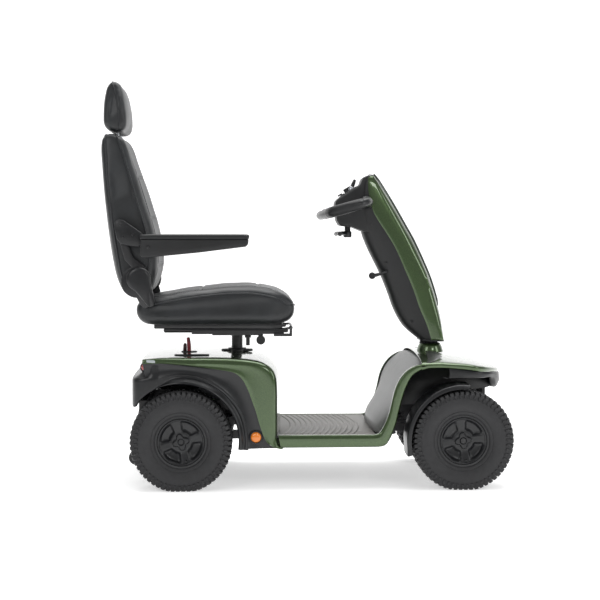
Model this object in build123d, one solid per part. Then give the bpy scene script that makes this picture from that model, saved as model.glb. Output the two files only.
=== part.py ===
"""Mobility scooter with a captain seat, in millimetres.

The model is laid out with the rear axle at x = 0, the seat facing +X, +Y to the rider's left and the ground
at z = 0. Before export every piece moves back by half the overall length, so that the origin is the middle
of the footprint.
"""
from build123d import *
import math
import os

# Wheels and axles
WHEELBASE = 925
TRACK = 515
TYRE_RADIUS = 167
TYRE_WIDTH = 125
TYRE_SHOULDER = 34
RIM_RADIUS = 84
RIM_WALL = 5
HUB_RADIUS = 24
STUB_RADIUS = 9
HALF_SHAFT_RADIUS = 11
ANTI_TIP_RADIUS = 25
ANTI_TIP_WIDTH = 18
ANTI_TIP_X = -160
ANTI_TIP_Z = 90
ANTI_TIP_Y = 112
ANTI_TIP_PIN = 4

# Fits and gaps
RUNNING = 0.05
GAP = 0.4

# Frame
RAIL_WIDTH = 26
RAIL_HEIGHT = 30
RAIL_TO_TYRE = 10
RAIL_BOTTOM = 146
UPPER_RAIL_BOTTOM = 265
UPPER_RAIL_HEIGHT = 25
UPRIGHT_X = 230
REAR_PIVOT_X = 200
REAR_PIVOT_Z = 175
FRONT_PIVOT_TO_AXLE = 230
FRONT_PIVOT_Z = 185
CENTRE_RAIL_Y = 57
CENTRE_RAIL_WIDTH = 24
CENTRE_RAIL_BOTTOM = 235
CENTRE_RAIL_HEIGHT = 28
KINGPIN_Y = 170
KINGPIN_RADIUS = 9
STEER_SETBACK = 69
KNUCKLE_ARM = 60
TIE_ROD_Z = 196

# Body panels
BODY_WIDTH = 570
WALL = 4
ARCH_RADIUS = 219
LINER_RADIUS = 194
POD_REAR_X = -128
POD_FRONT_X = 322
POD_REAR_TOP = 443
POD_FRONT_TOP = 418
FLOOR_TOP = 186
SILL_BOTTOM = 143
MAT_THICKNESS = 4
FRONT_SWEEP = 250
INDICATOR_RADIUS = 20.5
INDICATOR_X = 246
SHIELD_FOOT = -290
FREEWHEEL_X = 18
FREEWHEEL_Y = -70
SWEEP_TOP = 372

# Seat
POST_RADIUS = 19
PEDESTAL_RADIUS = 25
POST_X = 181
POST_TOP = 500
PEDESTAL_TOP = 434
POST_BOTTOM = 300
SEAT_WIDTH = 444
CUSHION_BOTTOM = 545
HEADREST_HALF = 145
HEADREST_ROD_Y = 60
HEADREST_ROD = 5
RECLINE_PIN = 8
SLIDE_LEVER_X = 362
SLIDE_LEVER_Z = 534
SWIVEL_LEVER_Z = 499
LEVER_PIN = 5
RECLINE_X = -146
RECLINE_Z = 687
ARM_PIVOT_X = -112
ARM_PIVOT_Z = 815
ARM_INNER_Y = 249
ARM_WIDTH = 54
LEAN_DEG = 7.8
CUSHION_TO_BAR = 60

# Tiller
STEER_SHAFT_RADIUS = 14
TILT_Z = 476
TILT_PIN = 6
BASE_RADIUS = 46
BASE_HEIGHT = 26
TILLER_WIDTH = 124
HANDLEBAR_HALF_WIDTH = 225
HANDLEBAR_TUBE = 14

# Values that follow from the ones above
AXLE_Z = TYRE_RADIUS
FRONT_X = WHEELBASE
WHEEL_Y = TRACK / 2
TYRE_INNER_Y = WHEEL_Y - TYRE_WIDTH / 2
RAIL_OUTER_Y = TYRE_INNER_Y - RAIL_TO_TYRE
RAIL_INNER_Y = RAIL_OUTER_Y - RAIL_WIDTH
RAIL_Y = RAIL_OUTER_Y - RAIL_WIDTH / 2
HALF_BODY = BODY_WIDTH / 2
STEER_X = FRONT_X - STEER_SETBACK
FRONT_PIVOT_X = FRONT_X - FRONT_PIVOT_TO_AXLE
FLOOR_REAR_X = 222
FLOOR_FRONT_X = FRONT_X - 235
HALF_SEAT = SEAT_WIDTH / 2
HINGE_PLATE_Y = HALF_SEAT + 4
BACK_PLATE_Y = HINGE_PLATE_Y + 5 + GAP
SIDES = {"l": 1, "r": -1}

PIECES = {}


def save(name, shape):
    """Keeps one piece under its node name."""
    PIECES[name] = shape


def block(x0, x1, y0, y1, z0, z1):
    """A box between two corners."""
    return Pos((x0 + x1) / 2, (y0 + y1) / 2, (z0 + z1) / 2) * Box(x1 - x0, y1 - y0, z1 - z0)


def both(shape):
    """A shape and its mirror image on the other side of the scooter."""
    return shape + mirror(shape, about=Plane.XZ)


def rod_y(x, z, radius, y0, y1):
    """A round bar across the scooter."""
    return Pos(x, (y0 + y1) / 2, z) * Rot(90, 0, 0) * Cylinder(radius, abs(y1 - y0))


def rod_x(y, z, radius, x0, x1):
    """A round bar along the scooter."""
    return Pos((x0 + x1) / 2, y, z) * Rot(0, 90, 0) * Cylinder(radius, x1 - x0)


def rod_z(x, y, radius, z0, z1):
    """An upright round bar."""
    return Pos(x, y, (z0 + z1) / 2) * Cylinder(radius, z1 - z0)


def side_plate(points, y0, y1, rounding=0):
    """A plate with the given outline in side view, between two widths."""
    face = make_face(Polyline(*points, close=True))
    if rounding:
        face = fillet(face.vertices(), rounding)
    return Pos(0, y1, 0) * extrude(Plane.XZ * face, amount=y1 - y0)


def plan_plate(points, z0, z1, rounding=0):
    """A plate with the given outline in plan view, between two heights."""
    face = make_face(Polyline(*points, close=True))
    if rounding:
        face = fillet(face.vertices(), rounding)
    return Pos(0, 0, z0) * extrude(face, amount=z1 - z0)


def mirrored_outline(points):
    """A plan outline closed by the mirror image of its points."""
    return points + [(x, -y) for x, y in reversed(points)]


def moved(points, dx, dz=0):
    """Outline points given from a local zero, placed in the scooter."""
    return [(x + dx, z + dz) for x, z in points]


def pipe(points, radius, bend):
    """A bent round tube, with one bend radius at every corner."""
    path = FilletPolyline(*points, radius=bend)
    section = Plane(origin=path @ 0, z_dir=path % 0) * Circle(radius)
    return sweep(section, path=path)


def turned(points, x, y, z):
    """A body of revolution about an axle: points are (radius, offset along +Y)."""
    face = make_face(Polyline(*points, close=True))
    return Pos(x, y, z) * revolve(face, axis=Axis.Y)


# ---------------------------------------------------------------- wheels


def tyre(x, side):
    """A pneumatic tyre with rounded shoulders, its bore on the rim."""
    depth = TYRE_RADIUS - RIM_RADIUS
    section = Pos(RIM_RADIUS + depth / 2, 0) * Rectangle(depth, TYRE_WIDTH)
    outer = section.vertices().sort_by(Axis.X)[-2:]
    section = fillet(outer, TYRE_SHOULDER)
    return Pos(x, side * WHEEL_Y, AXLE_Z) * revolve(section, axis=Axis.Y)


def wheel(x, side, bore):
    """Rim barrel, disc and hub. A bore of zero makes a hub that is solid, for a wheel on its half shaft."""
    half = TYRE_WIDTH / 2 - 8
    cap = half - 6
    hole = bore + RUNNING if bore else 0
    outline = [
        (hole, -half + 6),
        (HUB_RADIUS, -half + 6),
        (HUB_RADIUS, cap - 22),
        (RIM_RADIUS - RIM_WALL, cap - 22),
        (RIM_RADIUS - RIM_WALL, -half),
        (RIM_RADIUS, -half),
        (RIM_RADIUS, half),
        (RIM_RADIUS - RIM_WALL, half),
        (RIM_RADIUS - 2 * RIM_WALL, cap - 4),
        (HUB_RADIUS + 8, cap - 4),
        (HUB_RADIUS, cap + 4),
        (hole, cap + 4),
    ]
    if side < 0:
        outline = [(radius, -offset) for radius, offset in outline]
    return turned(outline, x, side * WHEEL_Y, AXLE_Z)


def half_shaft(side):
    """The driven shaft of a rear wheel, from inside the transaxle tube to the hub."""
    hub_inner = WHEEL_Y - TYRE_WIDTH / 2 + 14
    inner, outer = RAIL_INNER_Y - 20, hub_inner + 2
    return rod_y(0, AXLE_Z, HALF_SHAFT_RADIUS, side * inner, side * outer)


def make_wheels():
    """Four road wheels, the rear two on their half shafts, and the two anti-tip wheels."""
    for letter, side in SIDES.items():
        save(f"tyre_r{letter}", tyre(0, side))
        save(f"wheel_r{letter}", wheel(0, side, 0) + half_shaft(side))
        save(f"tyre_f{letter}", tyre(FRONT_X, side))
        save(f"wheel_f{letter}", wheel(FRONT_X, side, STUB_RADIUS))
        small = rod_y(ANTI_TIP_X, ANTI_TIP_Z, ANTI_TIP_RADIUS, 0, ANTI_TIP_WIDTH)
        small = small - rod_y(ANTI_TIP_X, ANTI_TIP_Z, ANTI_TIP_PIN + RUNNING, -1, ANTI_TIP_WIDTH + 1)
        small = fillet(small.edges().filter_by(GeomType.CIRCLE).group_by(SortBy.RADIUS)[-1], 4)
        start = ANTI_TIP_Y if side > 0 else -ANTI_TIP_Y - ANTI_TIP_WIDTH
        save(f"anti_tip_wheel_{letter}", Pos(0, start, 0) * small)



# ---------------------------------------------------------------- frame and suspension


def main_frame():
    """Welded rails, battery tray, pedestal, steering head and anti-tip brackets."""
    rail_top = RAIL_BOTTOM + RAIL_HEIGHT
    upper_top = UPPER_RAIL_BOTTOM + UPPER_RAIL_HEIGHT
    front_end = FRONT_PIVOT_X - 25
    frame = both(block(UPRIGHT_X - 14, front_end, RAIL_INNER_Y, RAIL_OUTER_Y, RAIL_BOTTOM, rail_top))
    frame += both(block(UPRIGHT_X - 14, UPRIGHT_X + 14, RAIL_INNER_Y, RAIL_OUTER_Y, RAIL_BOTTOM, upper_top))
    frame += both(block(-145, UPRIGHT_X + 60, RAIL_INNER_Y, RAIL_OUTER_Y, UPPER_RAIL_BOTTOM, upper_top))
    for x in (UPRIGHT_X, FRONT_PIVOT_X - 195, front_end - 15):
        frame += block(x - 14, x + 14, -RAIL_OUTER_Y, RAIL_OUTER_Y, RAIL_BOTTOM, rail_top)
    frame += block(-145, -120, -RAIL_OUTER_Y, RAIL_OUTER_Y, UPPER_RAIL_BOTTOM, upper_top)
    frame += block(30, UPRIGHT_X + 60, -RAIL_OUTER_Y, RAIL_OUTER_Y, UPPER_RAIL_BOTTOM - 4, UPPER_RAIL_BOTTOM)
    pedestal = rod_z(POST_X, 0, PEDESTAL_RADIUS, UPPER_RAIL_BOTTOM - 4, PEDESTAL_TOP)
    frame += pedestal
    frame -= rod_z(POST_X, 0, POST_RADIUS + RUNNING, UPPER_RAIL_BOTTOM + 6, PEDESTAL_TOP + 1)
    lug = side_plate(
        [
            (REAR_PIVOT_X - 16, REAR_PIVOT_Z - 14),
            (UPRIGHT_X, RAIL_BOTTOM + 2),
            (UPRIGHT_X, rail_top + 22),
            (REAR_PIVOT_X - 16, REAR_PIVOT_Z + 16),
        ],
        RAIL_INNER_Y - 12,
        RAIL_INNER_Y - 3,
    )
    frame += both(lug)
    frame += rod_y(REAR_PIVOT_X, REAR_PIVOT_Z, 9, -RAIL_OUTER_Y, RAIL_OUTER_Y)
    frame += front_structure(front_end, rail_top)
    anti_tip = side_plate(
        [(-145, upper_top), (-125, upper_top), (-130, 200), (ANTI_TIP_X + 14, 82), (ANTI_TIP_X - 14, 82), (-160, 200)],
        ANTI_TIP_Y - 8,
        ANTI_TIP_Y - 2,
    )
    pin = rod_y(ANTI_TIP_X, ANTI_TIP_Z, ANTI_TIP_PIN, ANTI_TIP_Y - 4, ANTI_TIP_Y + ANTI_TIP_WIDTH + 3)
    frame += both(anti_tip + pin)
    return frame


def front_structure(front_end, rail_top):
    """Centre rails over the front suspension, with the steering head and the bumper plate."""
    top = CENTRE_RAIL_BOTTOM + CENTRE_RAIL_HEIGHT
    inner = CENTRE_RAIL_Y - CENTRE_RAIL_WIDTH / 2
    outer = CENTRE_RAIL_Y + CENTRE_RAIL_WIDTH / 2
    slope = side_plate(
        [
            (front_end - 27, RAIL_BOTTOM),
            (front_end, RAIL_BOTTOM),
            (front_end, CENTRE_RAIL_BOTTOM - 30),
            (front_end + 30, CENTRE_RAIL_BOTTOM),
            (FRONT_X + 110, CENTRE_RAIL_BOTTOM),
            (FRONT_X + 110, top),
            (front_end + 15, top),
            (front_end - 27, rail_top + 40),
        ],
        inner,
        outer,
    )
    part = both(slope)
    part += block(STEER_X - 40, STEER_X + 40, -inner - 1, inner + 1, CENTRE_RAIL_BOTTOM, top)
    part += block(FRONT_X + 100, FRONT_X + 110, -outer, outer, CENTRE_RAIL_BOTTOM, top + 110)
    part += rod_z(STEER_X, 0, STEER_SHAFT_RADIUS + 8, CENTRE_RAIL_BOTTOM, TILT_Z - 58)
    part -= rod_z(STEER_X, 0, STEER_SHAFT_RADIUS + RUNNING, CENTRE_RAIL_BOTTOM - 1, TILT_Z - 57)
    lug = side_plate(
        [
            (FRONT_PIVOT_X - 14, FRONT_PIVOT_Z - 14),
            (FRONT_PIVOT_X + 14, FRONT_PIVOT_Z - 14),
            (FRONT_PIVOT_X + 30, CENTRE_RAIL_BOTTOM),
            (FRONT_PIVOT_X - 30, CENTRE_RAIL_BOTTOM - 22),
        ],
        outer - 8,
        outer,
    )
    part += both(lug)
    part += rod_y(FRONT_PIVOT_X, FRONT_PIVOT_Z, 8, -outer, outer)
    return part


def rear_suspension():
    """Swing arm, transaxle with motor, and two coil springs on the arm."""
    outer = RAIL_OUTER_Y
    inner = RAIL_INNER_Y + GAP
    arm = both(side_plate(
        [
            (REAR_PIVOT_X, REAR_PIVOT_Z - 13),
            (REAR_PIVOT_X, REAR_PIVOT_Z + 13),
            (100, 190),
            (40, 190),
            (0, AXLE_Z + 22),
            (-24, AXLE_Z),
            (0, AXLE_Z - 22),
            (60, 158),
        ],
        inner,
        outer,
    ))
    arm += block(110, 130, -inner - 1, inner + 1, 164, 184)
    arm += both(rod_y(REAR_PIVOT_X, REAR_PIVOT_Z, 13, inner, outer))
    arm -= rod_y(REAR_PIVOT_X, REAR_PIVOT_Z, 9 + RUNNING, -outer - 1, outer + 1)
    arm -= rod_y(0, AXLE_Z, HALF_SHAFT_RADIUS + RUNNING, -outer - 1, outer + 1)
    save("rear_swing_arm", arm)
    gearbox = rod_y(0, AXLE_Z, 60, -42, 42)
    tube = rod_y(0, AXLE_Z, 27, -RAIL_INNER_Y + 4, RAIL_INNER_Y - 4)
    motor = rod_y(62, AXLE_Z - 4, 42, -RAIL_INNER_Y + 16, -30)
    bore = both(rod_y(0, AXLE_Z, HALF_SHAFT_RADIUS + RUNNING, RAIL_INNER_Y - 26, RAIL_INNER_Y + 1))
    save("transaxle", gearbox + tube + motor - bore)
    springs = [coil(70, side * RAIL_Y, 190, UPPER_RAIL_BOTTOM - 4, 11) for side in SIDES.values()]
    save("rear_springs", springs[0] + springs[1])


def coil(x, y, z0, z1, radius):
    """A coil spring as its closed outer sleeve, open down the middle."""
    return rod_z(x, y, radius, z0, z1) - rod_z(x, y, radius - 4, z0 - 1, z1 + 1)


def front_suspension():
    """Swing frame, springs, knuckles, mudguards and tie rod."""
    inner = CENTRE_RAIL_Y - CENTRE_RAIL_WIDTH / 2
    arm_outer = CENTRE_RAIL_Y + 3
    arm = both(side_plate(
        [
            (FRONT_PIVOT_X - 14, FRONT_PIVOT_Z - 12),
            (FRONT_X, 152),
            (FRONT_X, 184),
            (FRONT_PIVOT_X, FRONT_PIVOT_Z + 14),
            (FRONT_PIVOT_X - 14, FRONT_PIVOT_Z + 8),
        ],
        inner,
        arm_outer,
    ))
    arm += block(FRONT_X - 16, FRONT_X + 16, -KINGPIN_Y, KINGPIN_Y, 152, 184)
    arm += both(rod_z(FRONT_X, KINGPIN_Y, 17, 152, 184))
    arm -= rod_y(FRONT_PIVOT_X, FRONT_PIVOT_Z, 8 + RUNNING, -arm_outer - 1, arm_outer + 1)
    arm -= both(rod_z(FRONT_X, KINGPIN_Y, KINGPIN_RADIUS + RUNNING, 151, 185))
    save("front_swing_frame", arm)
    spring = coil(FRONT_X - 40, CENTRE_RAIL_Y - 5, 188.5, CENTRE_RAIL_BOTTOM - GAP, 11)
    save("front_springs", both(spring))
    for letter, side in SIDES.items():
        save(f"knuckle_{letter}", knuckle() if side > 0 else mirror(knuckle(), about=Plane.XZ))
        guard = mudguard()
        save(f"mudguard_{letter}", guard if side > 0 else mirror(guard, about=Plane.XZ))
    bar = rod_y(FRONT_X - KNUCKLE_ARM, TIE_ROD_Z, 6, -KINGPIN_Y + 14, KINGPIN_Y - 14)
    tab_rear = STEER_X - KNUCKLE_ARM - 12
    bar += block(tab_rear, FRONT_X - KNUCKLE_ARM + 4, -15, 15, TIE_ROD_Z + 2, TIE_ROD_Z + 6)
    save("tie_rod", bar)


def knuckle():
    """Kingpin, fork plates, upright, stub axle and steering arm of the left wheel."""
    wall_y = KINGPIN_Y + 19
    part = rod_z(FRONT_X, KINGPIN_Y, KINGPIN_RADIUS, 140, 196)
    for z in (140, 185):
        part += block(FRONT_X - 14, FRONT_X + 14, KINGPIN_Y - 14, wall_y, z, z + 11)
    part += block(FRONT_X - 14, FRONT_X + 14, wall_y - 1, wall_y + 5, 140, 196)
    part += rod_y(FRONT_X, AXLE_Z, STUB_RADIUS, wall_y, WHEEL_Y + TYRE_WIDTH / 2 - 16)
    arm_x = FRONT_X - KNUCKLE_ARM
    arm = block(arm_x - 8, FRONT_X, KINGPIN_Y - 12, KINGPIN_Y + 6, 140, 148)
    return part + arm


def mudguard():
    """Curved guard behind and over the left front tyre, on a stay from the knuckle."""
    radius = TYRE_RADIUS + 18
    inner_y = TYRE_INNER_Y - 2
    outer_y = WHEEL_Y + TYRE_WIDTH / 2
    band = rod_y(FRONT_X, AXLE_Z, radius + 3, inner_y, outer_y)
    band -= rod_y(FRONT_X, AXLE_Z, radius, inner_y - 1, outer_y + 1)
    start, stop = math.radians(83), math.radians(196)
    reach = 2 * radius
    wedge = [(FRONT_X, AXLE_Z)]
    for share in (0, 0.25, 0.5, 0.75, 1):
        angle = start + (stop - start) * share
        wedge.append((FRONT_X + reach * math.cos(angle), AXLE_Z + reach * math.sin(angle)))
    band = band & side_plate(wedge, inner_y - 1, outer_y + 1)
    lean = math.radians(128)
    along = (math.cos(lean), math.sin(lean))
    across = (-along[1] * 11, along[0] * 11)
    foot = (FRONT_X + along[0] * 16, AXLE_Z + along[1] * 16)
    tip = (FRONT_X + along[0] * (radius + 1), AXLE_Z + along[1] * (radius + 1))
    stay = side_plate(
        [
            (foot[0] - across[0], foot[1] - across[1]),
            (tip[0] - across[0], tip[1] - across[1]),
            (tip[0] + across[0], tip[1] + across[1]),
            (foot[0] + across[0], foot[1] + across[1]),
        ],
        inner_y + 1.2,
        inner_y + 1.8,
    )
    return band + stay


# ---------------------------------------------------------------- body panels


def pod_solid(inset):
    """The rear body as a full solid, drawn in by an inset on every side but the bottom."""
    rear, front = POD_REAR_X + inset, POD_FRONT_X - inset
    points = [
        (rear, 300),
        (rear - 4, 400),
        (rear + 14, POD_REAR_TOP - inset),
        (front - 38, POD_FRONT_TOP - inset),
        (front - 8, POD_FRONT_TOP - 34),
        (front, FLOOR_TOP + 4 if inset == 0 else FLOOR_TOP - 40),
        (rear + 90, FLOOR_TOP + 4 if inset == 0 else FLOOR_TOP - 40),
    ]
    half = HALF_BODY - inset
    side = side_plate(points, -half, half)
    plan = mirrored_outline([(rear - 6, half - 70), (rear + 45, half), (front - 40, half), (front + 1, half - 60)])
    return side & plan_plate(plan, 0, POD_REAR_TOP + 20)


def wheel_well(radius, y0):
    """A round tunnel about the rear axle, from one width outwards."""
    return both(rod_y(0, AXLE_Z, radius, y0, HALF_BODY + 60))


def make_rear_body():
    """Pod shell, arch liners, bumper, lamps, indicators, trim plate and freewheel lever."""
    outer = pod_solid(0)
    shell = outer - pod_solid(WALL)
    shell -= wheel_well(ARCH_RADIUS, TYRE_INNER_Y - 6)
    shell -= block(POD_REAR_X - 20, UPRIGHT_X + 30, -HALF_BODY, HALF_BODY, 0, 262)
    shell -= block(POD_REAR_X - 20, POD_REAR_X + 28, -HALF_BODY, HALF_BODY, 0, 300)
    shell -= rod_z(POST_X, 0, PEDESTAL_RADIUS + GAP, 300, 500)
    lamp = both(block(POD_REAR_X - 12, POD_REAR_X + 22, 170, 226, 390, 424))
    lamp_room = both(block(POD_REAR_X - 13, POD_REAR_X + 22 + GAP, 170 - GAP, 226 + GAP, 390 - GAP, 424 + GAP))
    shell -= lamp_room
    slot = block(FREEWHEEL_X - 24, FREEWHEEL_X + 24, FREEWHEEL_Y - 9, FREEWHEEL_Y + 9, 400, 470)
    shell -= slot
    save("rear_body_shell", shell)
    save("rear_lamps", lamp)
    liner = rod_y(0, AXLE_Z, ARCH_RADIUS - GAP, TYRE_INNER_Y - 4, HALF_BODY - 2)
    liner -= rod_y(0, AXLE_Z, LINER_RADIUS + 20, TYRE_INNER_Y - 5, HALF_BODY - 22)
    liner -= rod_y(0, AXLE_Z, LINER_RADIUS, TYRE_INNER_Y - 5, HALF_BODY + 2)
    liner &= block(-260, 260, 0, HALF_BODY, FLOOR_TOP + 4, POD_REAR_TOP)
    liner -= block(-260, POD_REAR_X + 16, 0, HALF_BODY, 0, POD_REAR_TOP)
    save("wheel_arch_liners", both(liner))
    bumper = block(-176, POD_REAR_X - 22, -215, 215, 278, 369)
    bumper = fillet(bumper.edges().filter_by(Axis.Z).group_by(Axis.X)[0], 14)
    arms = both(block(POD_REAR_X - 23, -145.2, 60, 100, 268, 288))
    save("rear_bumper", bumper + arms)
    disc = rod_y(INDICATOR_X, FLOOR_TOP - 8, INDICATOR_RADIUS, HALF_BODY + GAP, HALF_BODY + 6)
    save("side_indicators", both(disc))
    ring = Pos(POST_X - 2, 0, 400) * extrude(Ellipse(62, 48), amount=44) - pod_solid(0)
    ring -= rod_z(POST_X, 0, PEDESTAL_RADIUS + GAP, 300, 500)
    ring -= block(POST_X - 90, POST_X + 90, -80, 80, 300, 420)
    battery = block(POST_X - 128, POST_X + 72, PEDESTAL_RADIUS + 3, RAIL_INNER_Y - 4, UPPER_RAIL_BOTTOM, 413)
    save("batteries", both(battery))
    bezel = Pos(FREEWHEEL_X, FREEWHEEL_Y, 425) * extrude(SlotOverall(74, 34), amount=22) - pod_solid(0)
    bezel -= block(FREEWHEEL_X - 24, FREEWHEEL_X + 24, FREEWHEEL_Y - 9, FREEWHEEL_Y + 9, 400, 470)
    save("top_trim_plates", ring + bezel)
    blade = block(FREEWHEEL_X - 4, FREEWHEEL_X + 4, FREEWHEEL_Y - 4, FREEWHEEL_Y + 4, 426, 462)
    knob = Pos(FREEWHEEL_X, FREEWHEEL_Y, 474) * Box(16, 24, 32)
    knob = fillet(knob.edges(), 5)
    axle = rod_y(FREEWHEEL_X, 424, 5, FREEWHEEL_Y - 7, FREEWHEEL_Y + 7)
    save("freewheel_lever", blade + knob + axle)



def sweep_room(z1):
    """The room that a steered front wheel and its mudguard need, narrower higher up, on both sides."""
    room = rod_z(FRONT_X, KINGPIN_Y, FRONT_SWEEP, 0, min(z1, 262))
    for radius, low, high in ((234, 261, 300), (216, 299, 340), (190, 339, SWEEP_TOP)):
        if low < z1:
            room += rod_z(FRONT_X, KINGPIN_Y, radius, low, high)
    return both(room)


def make_floor():
    """Floor tray with its sills, and the ribbed mat on top."""
    top = FLOOR_TOP - MAT_THICKNESS
    tray = block(FLOOR_REAR_X, FLOOR_FRONT_X, -HALF_BODY, HALF_BODY, SILL_BOTTOM, top)
    tray -= block(FLOOR_REAR_X + WALL, FLOOR_FRONT_X - WALL, -HALF_BODY + WALL, HALF_BODY - WALL, 0, top - WALL)
    tray -= block(FLOOR_REAR_X - 1, UPRIGHT_X + 16, -RAIL_OUTER_Y - 3, RAIL_OUTER_Y + 3, 0, FLOOR_TOP)
    tray -= block(FLOOR_FRONT_X - 60, FLOOR_FRONT_X + 1, -CENTRE_RAIL_Y - 16, CENTRE_RAIL_Y + 16, 0, FLOOR_TOP)
    tray -= sweep_room(FLOOR_TOP)
    tray -= wheel_well(ARCH_RADIUS, TYRE_INNER_Y - 6)
    save("floor_shell", tray)
    front_end = FRONT_X + SHIELD_FOOT - 2
    save("footboard_mat", block(POD_FRONT_X + 2, front_end, -HALF_BODY + 14, HALF_BODY - 14, top, FLOOR_TOP))


def make_front_body():
    """Grey leg shield, painted bonnet with its arch rims, and the front bumper."""
    rider_line = [(SHIELD_FOOT, FLOOR_TOP + 5), (-280, 218), (-256, 267), (-231, 336), (-197, 398), (-165, 424),
                  (-131, 437)]
    front_line = [(-131, 429), (-164, 414), (-196, 385), (-224, 324), (-246, 242), (-250, FLOOR_TOP + 5)]
    outer = side_plate(moved(rider_line + front_line, FRONT_X), -HALF_BODY + 5, HALF_BODY - 5)
    room_rear = [(x + 6, z - 6) for x, z in rider_line]
    room_front = [(-120, 431), (-120, 120)]
    room = side_plate(moved(room_rear + room_front, FRONT_X), -HALF_BODY + 10, HALF_BODY - 10)
    shield = outer - room - sweep_room(SWEEP_TOP)
    shield -= block(FRONT_X - 340, FRONT_X - 200, -CENTRE_RAIL_Y - 16, CENTRE_RAIL_Y + 16, 0, 270)
    save("leg_shield", shield)
    save("front_body_shell", bonnet())
    centre = plan_plate(
        mirrored_outline([(FRONT_X + 118, 60), (FRONT_X + 118, 150), (FRONT_X + 134, 152), (FRONT_X + 150, 120),
                          (FRONT_X + 161, 50)]),
        325,
        380,
    )
    wing = plan_plate(
        [(FRONT_X + 118, 130), (FRONT_X + 134, 152), (FRONT_X + 90, 234), (FRONT_X + 74, 228)],
        SWEEP_TOP + 1,
        386,
    )
    save("front_bumper", centre + both(wing) - bonnet_solid(0))


def bonnet_solid(inset):
    """The bonnet as a full solid, drawn in by an inset on the top and the sides."""
    top = [(-128, 445), (-73, 438), (-30, 430), (63, 416), (130, 399), (162, 384)]
    bottom = [(150, 378), (96, 388), (-54, 403), (-115, 403), (-128, 398)]
    lifted = [(x - (inset if x > 140 else 0), z - inset) for x, z in top]
    lowered = [(x - (inset if x > 140 else 0), z - 4 * inset) for x, z in bottom]
    half = HALF_BODY - inset
    side = side_plate(moved(lifted + lowered, FRONT_X), -half, half)
    plan = mirrored_outline([(FRONT_X - 129, half), (FRONT_X + 40, half), (FRONT_X + 108 - inset, half - 70),
                             (FRONT_X + 150 - inset, half - 165), (FRONT_X + 163 - inset, 50)])
    return side & plan_plate(plan, 300, 500)


def bonnet():
    """Thin painted bonnet with its arch rims down to the sills, open round the tiller base."""
    shell = bonnet_solid(0) - bonnet_solid(WALL)
    shell -= rod_z(STEER_X, 0, BASE_RADIUS + 2, 380, 500)
    rim = side_plate(
        moved(
            [(-129, 430), (-174, 412), (-208, 369), (-227, 324), (-244, 242), (-247, FLOOR_TOP + 5),
             (-232, FLOOR_TOP + 5), (-212, 262), (-194, 312), (-172, 366), (-146, 396), (-140, 398)],
            FRONT_X,
        ),
        HALF_BODY - 4.6,
        HALF_BODY,
    )
    return shell + both(rim)



# ---------------------------------------------------------------- seat


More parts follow.
